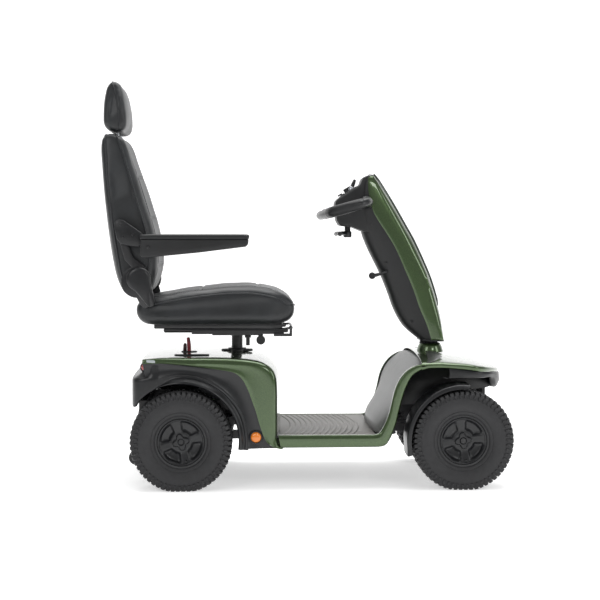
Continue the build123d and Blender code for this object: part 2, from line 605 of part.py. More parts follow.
def make_seat_base():
    """Post, swivel plate, rails, pan with recliner plates, and the levers under the seat."""
    post = rod_z(POST_X, 0, POST_RADIUS, POST_BOTTOM, POST_TOP) + rod_z(POST_X, 0, 12, POST_TOP, POST_TOP + 10)
    save("seat_post", post)
    z = POST_TOP + GAP
    plate = rod_z(POST_X, 0, 60, z, z + 5) + block(POST_X - 82, POST_X + 82, -152, 152, z + 5, z + 9)
    plate -= rod_z(POST_X, 0, 12 + RUNNING, z - 1, z + 10)
    rail_z = z + 9
    rails = both(block(30, 340, 128, 152, rail_z, rail_z + 12))
    rails -= both(block(29, 341, 132, 148, rail_z + 3, rail_z + 13))
    plate += rails
    plate += block(254, 270, -104, -99, 478, z + 6) - rod_y(262, 488, 4 + RUNNING, -110, -90)
    save("swivel_plate", plate)
    runner_z = rail_z + 12 + GAP
    runners = both(block(50, 352, 134, 146, runner_z - 6, CUSHION_BOTTOM - 4))
    pan = block(-120, 345, -200, 200, CUSHION_BOTTOM - 4, CUSHION_BOTTOM)
    wings = both(block(-120, -40, 199, HINGE_PLATE_Y + 5, CUSHION_BOTTOM - 4, CUSHION_BOTTOM))
    hinge = side_plate(
        [(-40, CUSHION_BOTTOM - 4), (-40, CUSHION_BOTTOM + 12), (RECLINE_X + 26, RECLINE_Z + 6),
         (RECLINE_X, RECLINE_Z + 26), (RECLINE_X - 26, RECLINE_Z), (-120, CUSHION_BOTTOM - 4)],
        HINGE_PLATE_Y,
        HINGE_PLATE_Y + 5,
    )
    hinge -= rod_y(RECLINE_X, RECLINE_Z, RECLINE_PIN + RUNNING, HINGE_PLATE_Y - 1, HINGE_PLATE_Y + 6)
    lug = side_plate(
        [(325, CUSHION_BOTTOM), (345, CUSHION_BOTTOM), (SLIDE_LEVER_X + 6, SLIDE_LEVER_Z + 5),
         (SLIDE_LEVER_X + 4, SLIDE_LEVER_Z - 6), (SLIDE_LEVER_X - 8, SLIDE_LEVER_Z - 2), (325, CUSHION_BOTTOM - 4)],
        -200,
        -196 - GAP,
    )
    lug += rod_y(SLIDE_LEVER_X, SLIDE_LEVER_Z, 3, -200, -178)
    save("seat_pan", runners + pan + wings + both(hinge) + lug)
    cushion = side_plate(
        [(-112, CUSHION_BOTTOM + GAP), (-156, 588), (-150, 604), (-72, 638), (60, 652), (193, 664), (300, 658),
         (366, 628), (380, 596), (357, CUSHION_BOTTOM + GAP)],
        -HALF_SEAT,
        HALF_SEAT,
    )
    save("seat_cushion", cushion)
    paddle = block(305, SLIDE_LEVER_X + 4, -196, -176, 505, 513)
    riser = block(SLIDE_LEVER_X - 4, SLIDE_LEVER_X + 4, -196, -176, 505, SLIDE_LEVER_Z)
    boss = rod_y(SLIDE_LEVER_X, SLIDE_LEVER_Z, 6, -196, -176)
    boss = paddle + riser + boss
    save("slide_lever", boss - rod_y(SLIDE_LEVER_X, SLIDE_LEVER_Z, 3 + RUNNING, -197, -175))
    grip = block(212, 225, -111, -99, 468, 498) + rod_x(-105, SWIVEL_LEVER_Z, 5, 208, 229)
    save("swivel_lever", grip)
    knob = rod_y(262, 488, 15, -140, -122) + rod_y(262, 488, 4, -123, -92)
    save("post_lock_knob", knob)



def lean_point(along, out):
    """A point of the back: a distance up its lean from the recline pivot, and out in front of it."""
    angle = math.radians(LEAN_DEG)
    x = RECLINE_X - along * math.sin(angle) + out * math.cos(angle)
    z = RECLINE_Z + along * math.cos(angle) + out * math.sin(angle)
    return (x, z)


def make_back():
    """Back frame with armrest brackets, back cushion, headrest and its rods."""
    strip = side_plate(
        [lean_point(-18, 18), lean_point(-18, -18), lean_point(60, -34), lean_point(215, -36), lean_point(215, 2),
         lean_point(60, 6)],
        BACK_PLATE_Y,
        BACK_PLATE_Y + 5,
    )
    bracket = side_plate(
        [(-206, 884), (-130, 849), (ARM_PIVOT_X + 16, ARM_PIVOT_Z + 12), (ARM_PIVOT_X + 16, ARM_PIVOT_Z - 12),
         (-135, 797), (-203, 816)],
        BACK_PLATE_Y + 4,
        BACK_PLATE_Y + 10,
    )
    arm_pin = rod_y(ARM_PIVOT_X, ARM_PIVOT_Z, 7, BACK_PLATE_Y + 9, ARM_INNER_Y + 30)
    stub = rod_y(RECLINE_X, RECLINE_Z, RECLINE_PIN, HINGE_PLATE_Y - 1, BACK_PLATE_Y + 2)
    boss = rod_y(RECLINE_X, RECLINE_Z, 46, BACK_PLATE_Y + 4, BACK_PLATE_Y + 8)
    frame = both(strip + bracket + arm_pin + stub + boss)
    frame -= rod_y(RECLINE_X, RECLINE_Z, LEVER_PIN + RUNNING, -300, 300)
    bar_rear, bar_front = -CUSHION_TO_BAR - 6, -CUSHION_TO_BAR
    bar = [lean_point(205, bar_rear), lean_point(205, bar_front), lean_point(165, bar_front), lean_point(165, bar_rear)]
    frame += side_plate(bar, -BACK_PLATE_Y - 5, BACK_PLATE_Y + 5)
    ear = [lean_point(205, bar_rear), lean_point(205, -30), lean_point(165, -30), lean_point(165, bar_rear)]
    frame += both(side_plate(ear, BACK_PLATE_Y, BACK_PLATE_Y + 5))
    save("back_frame", frame)
    cushion = side_plate(
        [(-262, 1172), (-247, 1186), (-184, 1172), (-167, 1136), (-124, 1037), (-96, 931), (-75, 855), (-64, 765),
         (-68, 700), (-78, 674), (-140, 640), (-178, 640), (-193, 660), (-203, 740), (-225, 860), (-236, 948)],
        -HALF_SEAT,
        HALF_SEAT,
    )
    rod_room = both(headrest_rod(RUNNING, 120))
    save("back_cushion", cushion - rod_room)
    head = side_plate(
        [(-270, 1236), (-266, 1218), (-250, 1206), (-186, 1184), (-176, 1210), (-196, 1313), (-222, 1372), (-257, 1376),
         (-272, 1330)],
        -HEADREST_HALF,
        HEADREST_HALF,
    )
    rods = both(headrest_rod(0, 110))
    save("headrest_cushion", head - both(headrest_rod(RUNNING, 120)))
    save("headrest_rods", rods)



def headrest_rod(clearance, reach):
    """One rod along the lean of the back, centred on the joint between back and headrest."""
    x, z = lean_point(510, -8)
    bar = Cylinder(HEADREST_ROD + clearance, 2 * reach)
    return Pos(x, HEADREST_ROD_Y, z) * Rot(0, -LEAN_DEG, 0) * bar


def make_armrests():
    """Padded armrests on the bracket pins, and the recline lever."""
    pad_outline = [(-131, 836), (-120, 842), (215, 842), (223, 832), (221, 808), (205, 798), (140, 782), (60, 778),
                   (-40, 768), (-110, 752), (-127, 756)]
    for letter, side in SIDES.items():
        pad = side_plate(pad_outline, ARM_INNER_Y, ARM_INNER_Y + ARM_WIDTH)
        pad -= rod_y(ARM_PIVOT_X, ARM_PIVOT_Z, 7 + RUNNING, ARM_INNER_Y - 1, ARM_INNER_Y + 30 + GAP)
        save(f"armrest_{letter}", pad if side > 0 else mirror(pad, about=Plane.XZ))
    top = RECLINE_Z + 40
    inner, outer = -BACK_PLATE_Y - 15, -BACK_PLATE_Y - 8 - GAP
    drop = side_plate(
        [(RECLINE_X - 34, RECLINE_Z + 12), (RECLINE_X - 18, top - 4), (RECLINE_X + 14, top), (RECLINE_X + 40, RECLINE_Z + 16),
         (RECLINE_X + 46, RECLINE_Z - 16), (RECLINE_X + 60, RECLINE_Z - 78), (RECLINE_X + 44, RECLINE_Z - 82),
         (RECLINE_X - 22, RECLINE_Z - 30)],
        inner,
        outer,
    )
    drop += rod_y(RECLINE_X, RECLINE_Z, LEVER_PIN, outer - 1, -HINGE_PLATE_Y + 1)
    save("recline_lever", drop)


# ---------------------------------------------------------------- tiller


def tiller_points(points):
    """Outline points given from the tilt pivot."""
    return moved(points, STEER_X, TILT_Z)


def make_steering():
    """Steering shaft with its arm, base cover and boot."""
    shaft = rod_z(STEER_X, 0, STEER_SHAFT_RADIUS, TIE_ROD_Z + 20, TILT_Z - 34)
    arm = block(STEER_X - KNUCKLE_ARM - 9, STEER_X, -12, 12, TIE_ROD_Z + 20, TIE_ROD_Z + 28)
    yoke = block(STEER_X - 16, STEER_X + 16, -23, 23, TILT_Z - 40, TILT_Z - 34)
    ears = both(block(STEER_X - 12, STEER_X + 12, 17, 23, TILT_Z - 36, TILT_Z + 12))
    pin = rod_y(STEER_X, TILT_Z, TILT_PIN, -23, 23)
    save("steering_shaft", shaft + arm + yoke + ears + pin)
    bell = Pos(STEER_X, 0, TILT_Z - 42) * extrude(Circle(BASE_RADIUS), amount=BASE_HEIGHT, taper=18)
    bell -= rod_z(STEER_X, 0, BASE_RADIUS - 13, 400, TILT_Z)
    save("tiller_base_cover", bell)


def tiller_core():
    """The hollow inside the tiller covers: the whole outline drawn in by the wall, open at the foot."""
    whole = make_face(Polyline(*tiller_points(REAR_SIDE + FRONT_SIDE), close=True))
    inner = offset(whole, amount=-WALL, kind=Kind.INTERSECTION)
    half = TILLER_WIDTH / 2 - WALL
    core = Pos(0, half, 0) * extrude(Plane.XZ * inner, amount=2 * half)
    return core + block(STEER_X - 34, STEER_X + 30, -30, 30, TILT_Z - 10, TILT_Z + 30)


REAR_SIDE = [(-221, 578), (-242, 544), (-335, 488), (-330, 404), (-274, 388), (-254, 374), (-232, 338), (-190, 256),
             (-154, 184), (-110, 60), (-66, 14), (-28, 6)]
FRONT_SIDE = [(37, 6), (13, 120), (-41, 260), (-100, 397), (-206, 571), (-219, 578)]
SEAM = [(-8, 6), (-78, 214), (-172, 374), (-222, 462), (-226, 548)]


def make_tiller():
    """Stem, covers, handlebar and controls, all leaning with the tiller."""
    half = TILLER_WIDTH / 2
    stem = side_plate(tiller_points([(-13, -13), (13, -13), (13, 14), (-160, 470), (-184, 462)]), -15, 15)
    stem -= rod_y(STEER_X, TILT_Z, TILT_PIN + RUNNING, -20, 20)
    save("tiller_stem", stem)
    core = tiller_core()
    save("tiller_rear_cover", side_plate(tiller_points(REAR_SIDE + SEAM), -half, half) - core)
    seam = [(x + 2, z + 1) for x, z in reversed(SEAM)]
    save("tiller_front_cover", side_plate(tiller_points(FRONT_SIDE + seam), -half, half) - core)
    strip = [(38, 20), (44, 20), (18, 122), (-36, 262), (-96, 400), (-196, 566), (-202, 562), (-101, 397), (-42, 260), (14, 120)]
    strip = [(x + 1.5, z) for x, z in strip]
    save("tiller_front_strip", side_plate(tiller_points(strip), -18, 18))
    make_handlebar()
    make_controls()


def make_handlebar():
    """Delta handlebar: a closed loop that slopes down towards the rider, and the throttle paddle."""
    root, end = (STEER_X - 232, TILT_Z + 478), (STEER_X - 384, TILT_Z + 434)
    slope = math.atan2(root[1] - end[1], root[0] - end[0])

    def at(back, side):
        return (root[0] - back * math.cos(slope), side, root[1] - back * math.sin(slope))

    reach = (root[0] - end[0]) / math.cos(slope)
    half = HANDLEBAR_HALF_WIDTH
    points = [at(0, TILLER_WIDTH / 2 + GAP), at(0, half - 10), at(60, half), at(reach, half - 40), at(reach, -half + 40), at(60, -half),
              at(0, -half + 10), at(0, -TILLER_WIDTH / 2 - GAP)]
    loop = pipe(points, HANDLEBAR_TUBE, 28)
    clamp = rod_y(root[0], root[1], 20, -TILLER_WIDTH / 2 - 14, -TILLER_WIDTH / 2 - GAP)
    clamp += rod_y(root[0], root[1], 20, TILLER_WIDTH / 2 + GAP, TILLER_WIDTH / 2 + 14)
    save("handlebar", loop + clamp)
    pivot = (STEER_X - 290, TILT_Z + 386)
    paddles = block(pivot[0] - 40, pivot[0] - 32, -110, 110, pivot[1] - 26, pivot[1] - 6)
    hub = rod_z(pivot[0], 0, 12, pivot[1] - 26, pivot[1] - 6) + block(pivot[0] - 36, pivot[0], -9, 9, pivot[1] - 24, pivot[1] - 8)
    save("throttle_paddle", hub + paddles)


def make_controls():
    """Dash controls on the sloping console top, and the tilt lever."""
    angle = math.degrees(math.atan2(544 - 488, 335 - 242))
    middle = (STEER_X - 288, TILT_Z + 517)

    def on_dash(along, side, shape):
        radians = math.radians(angle)
        x = middle[0] + along * math.cos(radians)
        z = middle[1] + along * math.sin(radians)
        return Pos(x, side, z) * Rot(0, -angle, 0) * Pos(0, 0, GAP) * shape

    up = (Align.CENTER, Align.CENTER, Align.MIN)
    save("speed_knob", on_dash(0, 0, Cylinder(15, 14, align=up)))
    save("horn_button", on_dash(-30, 36, Pos(0, 0, 2) * Cylinder(8, 5, align=up)))
    key = Cylinder(8, 6, align=up) + Pos(0, 0, 20) * Box(4, 22, 30)
    save("ignition_key", on_dash(24, -34, key))
    lever = rod_y(STEER_X - 190, TILT_Z + 225, 7, -TILLER_WIDTH / 2 - 12, -TILLER_WIDTH / 2 - GAP)
    lever += block(STEER_X - 235, STEER_X - 186, -TILLER_WIDTH / 2 - 12, -TILLER_WIDTH / 2 - 5, TILT_Z + 216, TILT_Z + 232)
    save("tilt_lever", lever)


def export_all():
    """Centres the whole scooter on its footprint and writes one file per piece."""
    boxes = [shape.bounding_box() for shape in PIECES.values()]
    low = min(box.min.X for box in boxes)
    high = max(box.max.X for box in boxes)
    ground = min(box.min.Z for box in boxes)
    shift = -(low + high) / 2
    print("shift of x:", round(shift, 4), "ground:", round(ground, 4), "length:", round(high - low, 2))
    os.makedirs("parts", exist_ok=True)
    for name, shape in PIECES.items():
        export_step(Pos(shift, 0, -ground) * shape, f"parts/{name}.step")
    return shift


save("main_frame", main_frame())
rear_suspension()
front_suspension()
make_wheels()
make_rear_body()
make_floor()
make_front_body()
make_seat_base()
make_back()
make_armrests()
make_steering()
make_tiller()
SHIFT = export_all()
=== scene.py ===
"""Visual model of a four-wheeled mobility scooter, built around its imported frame."""
import math
import random

import bmesh
import bpy
from mathutils import Matrix, Vector
from mathutils.geometry import interpolate_bezier


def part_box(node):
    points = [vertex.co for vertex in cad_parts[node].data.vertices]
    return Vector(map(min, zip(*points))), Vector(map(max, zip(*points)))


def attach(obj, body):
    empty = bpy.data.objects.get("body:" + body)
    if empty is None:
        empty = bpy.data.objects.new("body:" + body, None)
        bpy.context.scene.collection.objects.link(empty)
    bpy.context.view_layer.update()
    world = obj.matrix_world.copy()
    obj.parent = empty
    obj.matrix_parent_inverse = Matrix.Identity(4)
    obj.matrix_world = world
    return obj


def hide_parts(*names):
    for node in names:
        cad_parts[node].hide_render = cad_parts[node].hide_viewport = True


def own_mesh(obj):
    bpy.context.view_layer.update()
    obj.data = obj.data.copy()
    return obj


bl_info = {
    "name": "Mobility scooter",
    "version": (1, 0, 0),
    "blender": (4, 5, 0),
    "location": "View3D > Sidebar > Scooter",
    "description": "Builds the visible pieces of a mobility scooter around its frame",
    "category": "Add Mesh",
}

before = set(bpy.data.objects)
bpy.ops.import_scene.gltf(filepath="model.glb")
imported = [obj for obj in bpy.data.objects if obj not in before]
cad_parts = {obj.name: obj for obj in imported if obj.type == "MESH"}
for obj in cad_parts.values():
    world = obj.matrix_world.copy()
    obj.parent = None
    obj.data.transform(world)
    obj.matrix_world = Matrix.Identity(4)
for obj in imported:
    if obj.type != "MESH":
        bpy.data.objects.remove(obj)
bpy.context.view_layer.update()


def centre_of(node):
    """The middle of a CAD node's box, in metres."""
    low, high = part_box(node)
    return (Vector(low) + Vector(high)) / 2


REAR_X = centre_of("tyre_rl").x * 1000
FRONT_X = centre_of("tyre_fl").x * 1000 - REAR_X
AXLE_Z = centre_of("tyre_rl").z * 1000
WHEEL_Y = centre_of("tyre_rl").y * 1000
HALF_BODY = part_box("floor_shell")[1][1] * 1000
STEER_X = centre_of("tiller_base_cover").x * 1000 - REAR_X
TILT_Z = 476.0
RECLINE = (-146.0, 687.0)


def place(x, y, z):
    """A point given in millimetres from the rear axle and the ground, in metres."""
    return Vector(((x + REAR_X) / 1000, y / 1000, z / 1000))


# ------------------------------------------------------------------ sizes and colours


class ScooterSettings(bpy.types.PropertyGroup):
    """Sizes and colours that a user would change."""

    paint: bpy.props.StringProperty(name="Paint", description="Metallic body paint", default="#3A4C2C")
    seat: bpy.props.StringProperty(name="Seat", description="Leatherette on the seat", default="#191C1F")
    plastic: bpy.props.StringProperty(name="Plastic", description="Black moulded plastic", default="#101113")
    tread_blocks: bpy.props.IntProperty(name="Tread blocks", description="Blocks round a tyre", default=58, min=12)
    mat_pitch: bpy.props.FloatProperty(name="Mat rib pitch", description="Millimetres between mat ribs", default=19.0)
    grain: bpy.props.FloatProperty(name="Leather grain", description="Grain size in millimetres", default=1.6)


# ------------------------------------------------------------------ materials


def linear(code):
    """An sRGB hex colour as linear red, green, blue and alpha."""
    values = [int(code[i:i + 2], 16) / 255 for i in (1, 3, 5)]
    return [v / 12.92 if v <= 0.04045 else ((v + 0.055) / 1.055) ** 2.4 for v in values] + [1.0]


def add(tree, kind, settings=None, inputs=None):
    """Adds a node with its settings, and its inputs as values or as links from other sockets."""
    node = tree.nodes.new(kind)
    for key, value in (settings or {}).items():
        setattr(node, key, value)
    for key, value in (inputs or {}).items():
        if isinstance(value, bpy.types.NodeSocket):
            tree.links.new(value, node.inputs[key])
        else:
            node.inputs[key].default_value = value
    return node


def new_material(name, colour, roughness, **values):
    """A material with one shader: constant values sit on the shader's own sockets."""
    material = bpy.data.materials.new(name)
    material.use_nodes = True
    tree = material.node_tree
    tree.nodes.clear()
    shader = add(tree, "ShaderNodeBsdfPrincipled")
    shader.inputs["Base Color"].default_value = linear(colour)
    shader.inputs["Roughness"].default_value = roughness
    for key, value in values.items():
        shader.inputs[key.replace("_", " ")].default_value = value
    output = add(tree, "ShaderNodeOutputMaterial", None, {"Surface": shader.outputs[0]})
    output.is_active_output = True
    return material, tree, shader


def object_noise(tree, size_mm, detail=2.0, roughness=0.5):
    """Noise whose grain is a size in millimetres, on Object coordinates."""
    place_node = add(tree, "ShaderNodeTexCoord")
    return add(tree, "ShaderNodeTexNoise", None,
               {"Vector": place_node.outputs["Object"], "Scale": 1000 / size_mm, "Detail": detail,
                "Roughness": roughness})


def object_cells(tree, size_mm, feature="F1"):
    """Voronoi cells whose width is a size in millimetres, on Object coordinates."""
    place_node = add(tree, "ShaderNodeTexCoord")
    return add(tree, "ShaderNodeTexVoronoi", {"feature": feature},
               {"Vector": place_node.outputs["Object"], "Scale": 1000 / size_mm})


def bump(tree, shader, height, depth_mm, strength=1.0):
    """Raises the surface by a height pattern."""
    node = add(tree, "ShaderNodeBump", None,
               {"Height": height, "Distance": depth_mm / 1000, "Strength": strength})
    tree.links.new(node.outputs[0], shader.inputs["Normal"])


def vary_colour(tree, shader, pattern, dark, light, low=0.3, high=0.7):
    """Drives the base colour between two hex colours with a pattern."""
    ramp = add(tree, "ShaderNodeValToRGB", None, {"Fac": pattern})
    ramp.color_ramp.elements[0].position = low
    ramp.color_ramp.elements[0].color = linear(dark)
    ramp.color_ramp.elements[1].position = high
    ramp.color_ramp.elements[1].color = linear(light)
    tree.links.new(ramp.outputs[0], shader.inputs["Base Color"])


def vary_roughness(tree, shader, pattern, low, high):
    """Drives the roughness between two values with a pattern."""
    span = add(tree, "ShaderNodeMapRange", None, {"Value": pattern, "To Min": low, "To Max": high})
    tree.links.new(span.outputs[0], shader.inputs["Roughness"])


def metallic_paint(colour):
    """Metallic base coat under clear lacquer: flakes a third of a millimetre across, and faint orange peel."""
    material, tree, shader = new_material("Metallic green lacquer on ABS", colour, 0.28, Metallic=0.8,
                                          Coat_Weight=1.0, Coat_Roughness=0.04, Coat_IOR=1.5)
    flakes = object_cells(tree, 0.9)
    shade = add(tree, "ShaderNodeSeparateColor", None, {"Color": flakes.outputs["Color"]})
    vary_colour(tree, shader, shade.outputs[0], "#34462A", "#4C6139", 0.0, 1.0)
    peel = object_noise(tree, 5.0, 1.0)
    bump(tree, shader, peel.outputs["Fac"], 0.05, 0.35)
    return material


def grained_abs(colour):
    """Black ABS from a spark-eroded mould: fine pebble grain that breaks up the shine."""
    material, tree, shader = new_material("Spark-grained black ABS", colour, 0.45, IOR=1.5)
    cells = object_cells(tree, 1.3)
    cloud = object_noise(tree, 60.0, 3.0)
    vary_colour(tree, shader, cloud.outputs["Fac"], "#0C0D0E", "#141517")
    vary_roughness(tree, shader, cloud.outputs["Fac"], 0.38, 0.52)
    bump(tree, shader, cells.outputs["Distance"], 0.12, 0.5)
    return material


def satin_abs(colour):
    """Smooth satin ABS: soft even shine with faint handling smears."""
    material, tree, shader = new_material("Satin black ABS", colour, 0.3, IOR=1.5)
    cloud = object_noise(tree, 35.0, 4.0, 0.6)
    vary_colour(tree, shader, cloud.outputs["Fac"], "#0E0F11", "#17181B")
    vary_roughness(tree, shader, cloud.outputs["Fac"], 0.24, 0.38)
    fine = object_noise(tree, 2.0, 2.0)
    bump(tree, shader, fine.outputs["Fac"], 0.03, 0.3)
    return material


def leg_shield_plastic():
    """Grey polypropylene with a coarse leather-like mould texture that catches broad light."""
    material, tree, shader = new_material("Coarse-grained grey polypropylene", "#333433", 0.36, IOR=1.49,
                                          Specular_IOR_Level=0.7)
    cloud = object_noise(tree, 45.0, 4.0, 0.6)
    vary_colour(tree, shader, cloud.outputs["Fac"], "#2A2B2A", "#3D3F3D")
    cells = object_cells(tree, 2.4)
    bump(tree, shader, cells.outputs["Distance"], 0.35, 0.55)
    return material


def mat_rubber():
    """Grey-brown moulded rubber with a patchy tone and roughness."""
    material, tree, shader = new_material("Moulded grey rubber", "#5E5B57", 0.42, IOR=1.52, Specular_IOR_Level=0.6)
    cloud = object_noise(tree, 25.0, 5.0, 0.65)
    vary_colour(tree, shader, cloud.outputs["Fac"], "#4F4C49", "#716D68")
    vary_roughness(tree, shader, cloud.outputs["Fac"], 0.36, 0.55)
    fine = object_noise(tree, 1.5, 2.0)
    bump(tree, shader, fine.outputs["Fac"], 0.08, 0.5)
    return material


def tyre_rubber():
    """Carbon-black rubber: matt, slightly browned, with a patchy tone."""
    material, tree, shader = new_material("Carbon-black tyre rubber", "#202022", 0.62, IOR=1.52)
    cloud = object_noise(tree, 18.0, 6.0, 0.7)
    vary_colour(tree, shader, cloud.outputs["Fac"], "#19191B", "#28282A")
    vary_roughness(tree, shader, cloud.outputs["Fac"], 0.5, 0.74)
    fine = object_noise(tree, 1.2, 3.0)
    bump(tree, shader, fine.outputs["Fac"], 0.1, 0.5)
    return material


def powder_coat():
    """Black powder coat on steel: satin with the slight orange peel of a baked powder."""
    material, tree, shader = new_material("Black powder coat on steel", "#151517", 0.4, IOR=1.5, Coat_Weight=0.2)
    peel = object_noise(tree, 3.0, 2.0)
    cloud = object_noise(tree, 80.0, 3.0)
    vary_colour(tree, shader, cloud.outputs["Fac"], "#111113", "#1D1D20")
    bump(tree, shader, peel.outputs["Fac"], 0.08, 0.5)
    return material


def zinc_steel():
    """Bright zinc-plated steel with a faint spangle."""
    material, tree, shader = new_material("Zinc-plated steel", "#B9BCC0", 0.28, Metallic=1.0)
    cells = object_cells(tree, 4.0)
    shade = add(tree, "ShaderNodeSeparateColor", None, {"Color": cells.outputs["Color"]})
    vary_colour(tree, shader, shade.outputs[0], "#A3A6AB", "#C8CACD", 0.0, 1.0)
    vary_roughness(tree, shader, shade.outputs[1], 0.2, 0.36)
    return material


def cast_aluminium():
    """Sand-cast aluminium of the gearbox, dull and slightly pitted."""
    material, tree, shader = new_material("Cast aluminium", "#7E8083", 0.5, Metallic=1.0)
    pits = object_noise(tree, 2.5, 4.0, 0.7)
    vary_roughness(tree, shader, pits.outputs["Fac"], 0.4, 0.6)
    bump(tree, shader, pits.outputs["Fac"], 0.2, 0.5)
    return material


def leatherette(colour, grain_mm):
    """Embossed vinyl on foam: a pebble grain, and a sheen that is uneven where it is stretched."""
    material, tree, shader = new_material("Black embossed leatherette", colour, 0.4, IOR=1.48,
                                          Specular_IOR_Level=0.55, Sheen_Weight=0.06)
    cells = object_cells(tree, grain_mm)
    cloud = object_noise(tree, 70.0, 4.0, 0.6)
    vary_colour(tree, shader, cloud.outputs["Fac"], "#121416", "#1D2023")
    vary_roughness(tree, shader, cloud.outputs["Fac"], 0.33, 0.47)
    bump(tree, shader, cells.outputs["Distance"], 0.18, 0.5)
    return material


def soft_foam_skin():
    """Self-skinned polyurethane of the armrest tops: soft black with a fine grain."""
    material, tree, shader = new_material("Self-skinned polyurethane", "#131416", 0.48, IOR=1.46)
    cells = object_cells(tree, 1.0)
    cloud = object_noise(tree, 30.0, 3.0)
    vary_roughness(tree, shader, cloud.outputs["Fac"], 0.42, 0.56)
    bump(tree, shader, cells.outputs["Distance"], 0.1, 0.5)
    return material


def clear_lens(name, colour, glow):
    """Tinted moulded lens over a reflector: small prisms inside break up the light."""
    material, tree, shader = new_material(name, colour, 0.08, IOR=1.49, Transmission_Weight=0.25, Coat_Weight=1.0)
    shader.inputs["Emission Color"].default_value = linear(colour)
    shader.inputs["Emission Strength"].default_value = glow
    prisms = object_cells(tree, 3.0)
    bump(tree, shader, prisms.outputs["Distance"], 0.6, 0.7)
    return material


def red_nylon(name, dark, light):
    """Injection-moulded nylon of the freewheel lever, slightly mottled."""
    material, tree, shader = new_material(name, dark, 0.32, IOR=1.53, Coat_Weight=0.3)
    cloud = object_noise(tree, 12.0, 3.0)
    vary_colour(tree, shader, cloud.outputs["Fac"], dark, light)
    bump(tree, shader, cloud.outputs["Fac"], 0.05, 0.4)
    return material


def battery_case():
    """Grey ABS battery case, scuffed."""
    material, tree, shader = new_material("Scuffed grey ABS", "#5A5D61", 0.5, IOR=1.5)
    cloud = object_noise(tree, 20.0, 5.0, 0.7)
    vary_colour(tree, shader, cloud.outputs["Fac"], "#4C4F52", "#686B70")
    return material


def thread():
    """Bonded nylon sewing thread, slightly lighter than the cover."""
    material, tree, shader = new_material("Bonded nylon thread", "#3A3D41", 0.6, Sheen_Weight=0.3)
    twist = object_noise(tree, 1.0, 1.0)
    bump(tree, shader, twist.outputs["Fac"], 0.2, 0.6)
    return material


def piping_vinyl():
    """Smooth vinyl drawn tight over a cord: a little shinier than the embossed cover."""
    material, tree, shader = new_material("Smooth vinyl piping", "#1E2023", 0.32, IOR=1.5)
    cloud = object_noise(tree, 9.0, 3.0)
    vary_roughness(tree, shader, cloud.outputs["Fac"], 0.26, 0.42)
    return material


def display_glass():
    """Hard-coated polycarbonate window of the display: near black and mirror smooth."""
    material, tree, shader = new_material("Hard-coated polycarbonate", "#07090B", 0.06, IOR=1.58, Coat_Weight=1.0)
    cloud = object_noise(tree, 14.0, 3.0)
    vary_roughness(tree, shader, cloud.outputs["Fac"], 0.04, 0.12)
    return material


def strip_plastic():
    """Dark green ABS of the tiller's centre strip, satin with a fine mould grain."""
    material, tree, shader = new_material("Satin dark green ABS", "#1C2A1C", 0.34, IOR=1.5, Coat_Weight=0.3)
    cells = object_cells(tree, 1.5)
    cloud = object_noise(tree, 50.0, 3.0)
    vary_colour(tree, shader, cloud.outputs["Fac"], "#182318", "#233324")
    bump(tree, shader, cells.outputs["Distance"], 0.06, 0.4)
    return material


MATERIALS = {}


def make_materials(settings):
    """Makes each finish once."""
    MATERIALS.update({
        "paint": metallic_paint(settings.paint),
        "grained": grained_abs(settings.plastic),
        "satin": satin_abs(settings.plastic),
        "shield": leg_shield_plastic(),
        "mat": mat_rubber(),
        "tyre": tyre_rubber(),
        "powder": powder_coat(),
        "zinc": zinc_steel(),
        "cast": cast_aluminium(),
        "leather": leatherette(settings.seat, settings.grain),
        "foam": soft_foam_skin(),
        "amber": clear_lens("Amber acrylic lens", "#E07A12", 0.25),
        "red_lens": clear_lens("Red acrylic lens", "#A01410", 0.15),
        "reflector": clear_lens("Silver reflector film", "#B9C2C4", 0.0),
        "red": red_nylon("Red nylon", "#7E1220", "#A01C2C"),
        # This darker red is painted shade: a shaded copy of the red nylon, for the far side of the freewheel lever.
        "shaded_red": red_nylon("Maroon nylon", "#2E1413", "#43201C"),
        "battery": battery_case(),
        "thread": thread(),
        "piping": piping_vinyl(),
        "screen": display_glass(),
        "strip": strip_plastic(),
    })


# ------------------------------------------------------------------ mesh helpers


def to_piece(name, points, faces, material, sharp=38.0, closed=True):
    """A mesh object from millimetre points: doubles merged, normals outward, crisp edges kept."""
    mesh = bpy.data.meshes.new(name)
    mesh.from_pydata([place(*p) for p in points], [], faces)
    work = bmesh.new()
    work.from_mesh(mesh)
    bmesh.ops.remove_doubles(work, verts=work.verts, dist=4e-5)
    bmesh.ops.dissolve_degenerate(work, dist=1e-5, edges=work.edges)
    if closed:
        bmesh.ops.recalc_face_normals(work, faces=work.faces)
    work.to_mesh(mesh)
    work.free()
    mesh.materials.append(MATERIALS[material])
    mesh.shade_smooth()
    mesh.set_sharp_from_angle(angle=math.radians(sharp))
    piece = bpy.data.objects.new(name, mesh)
    bpy.context.scene.collection.objects.link(piece)
    return piece


def shaped(piece, *modifiers, sharp=38.0):
    """Runs modifiers on a piece and leaves a plain mesh."""
    for kind, settings in modifiers:
        modifier = piece.modifiers.new(kind, kind)
        for key, value in settings.items():
            setattr(modifier, key, value)
    graph = bpy.context.evaluated_depsgraph_get()
    mesh = bpy.data.meshes.new_from_object(piece.evaluated_get(graph), depsgraph=graph)
    piece.modifiers.clear()
    piece.data = mesh
    mesh.shade_smooth()
    mesh.set_sharp_from_angle(angle=math.radians(sharp))
    return piece


def bevelled(width_mm, segments=2):
    """Settings for rounded edges."""
    return ("BEVEL", {"width": width_mm / 1000, "segments": segments, "limit_method": "ANGLE",
                      "angle_limit": math.radians(35), "harden_normals": False})


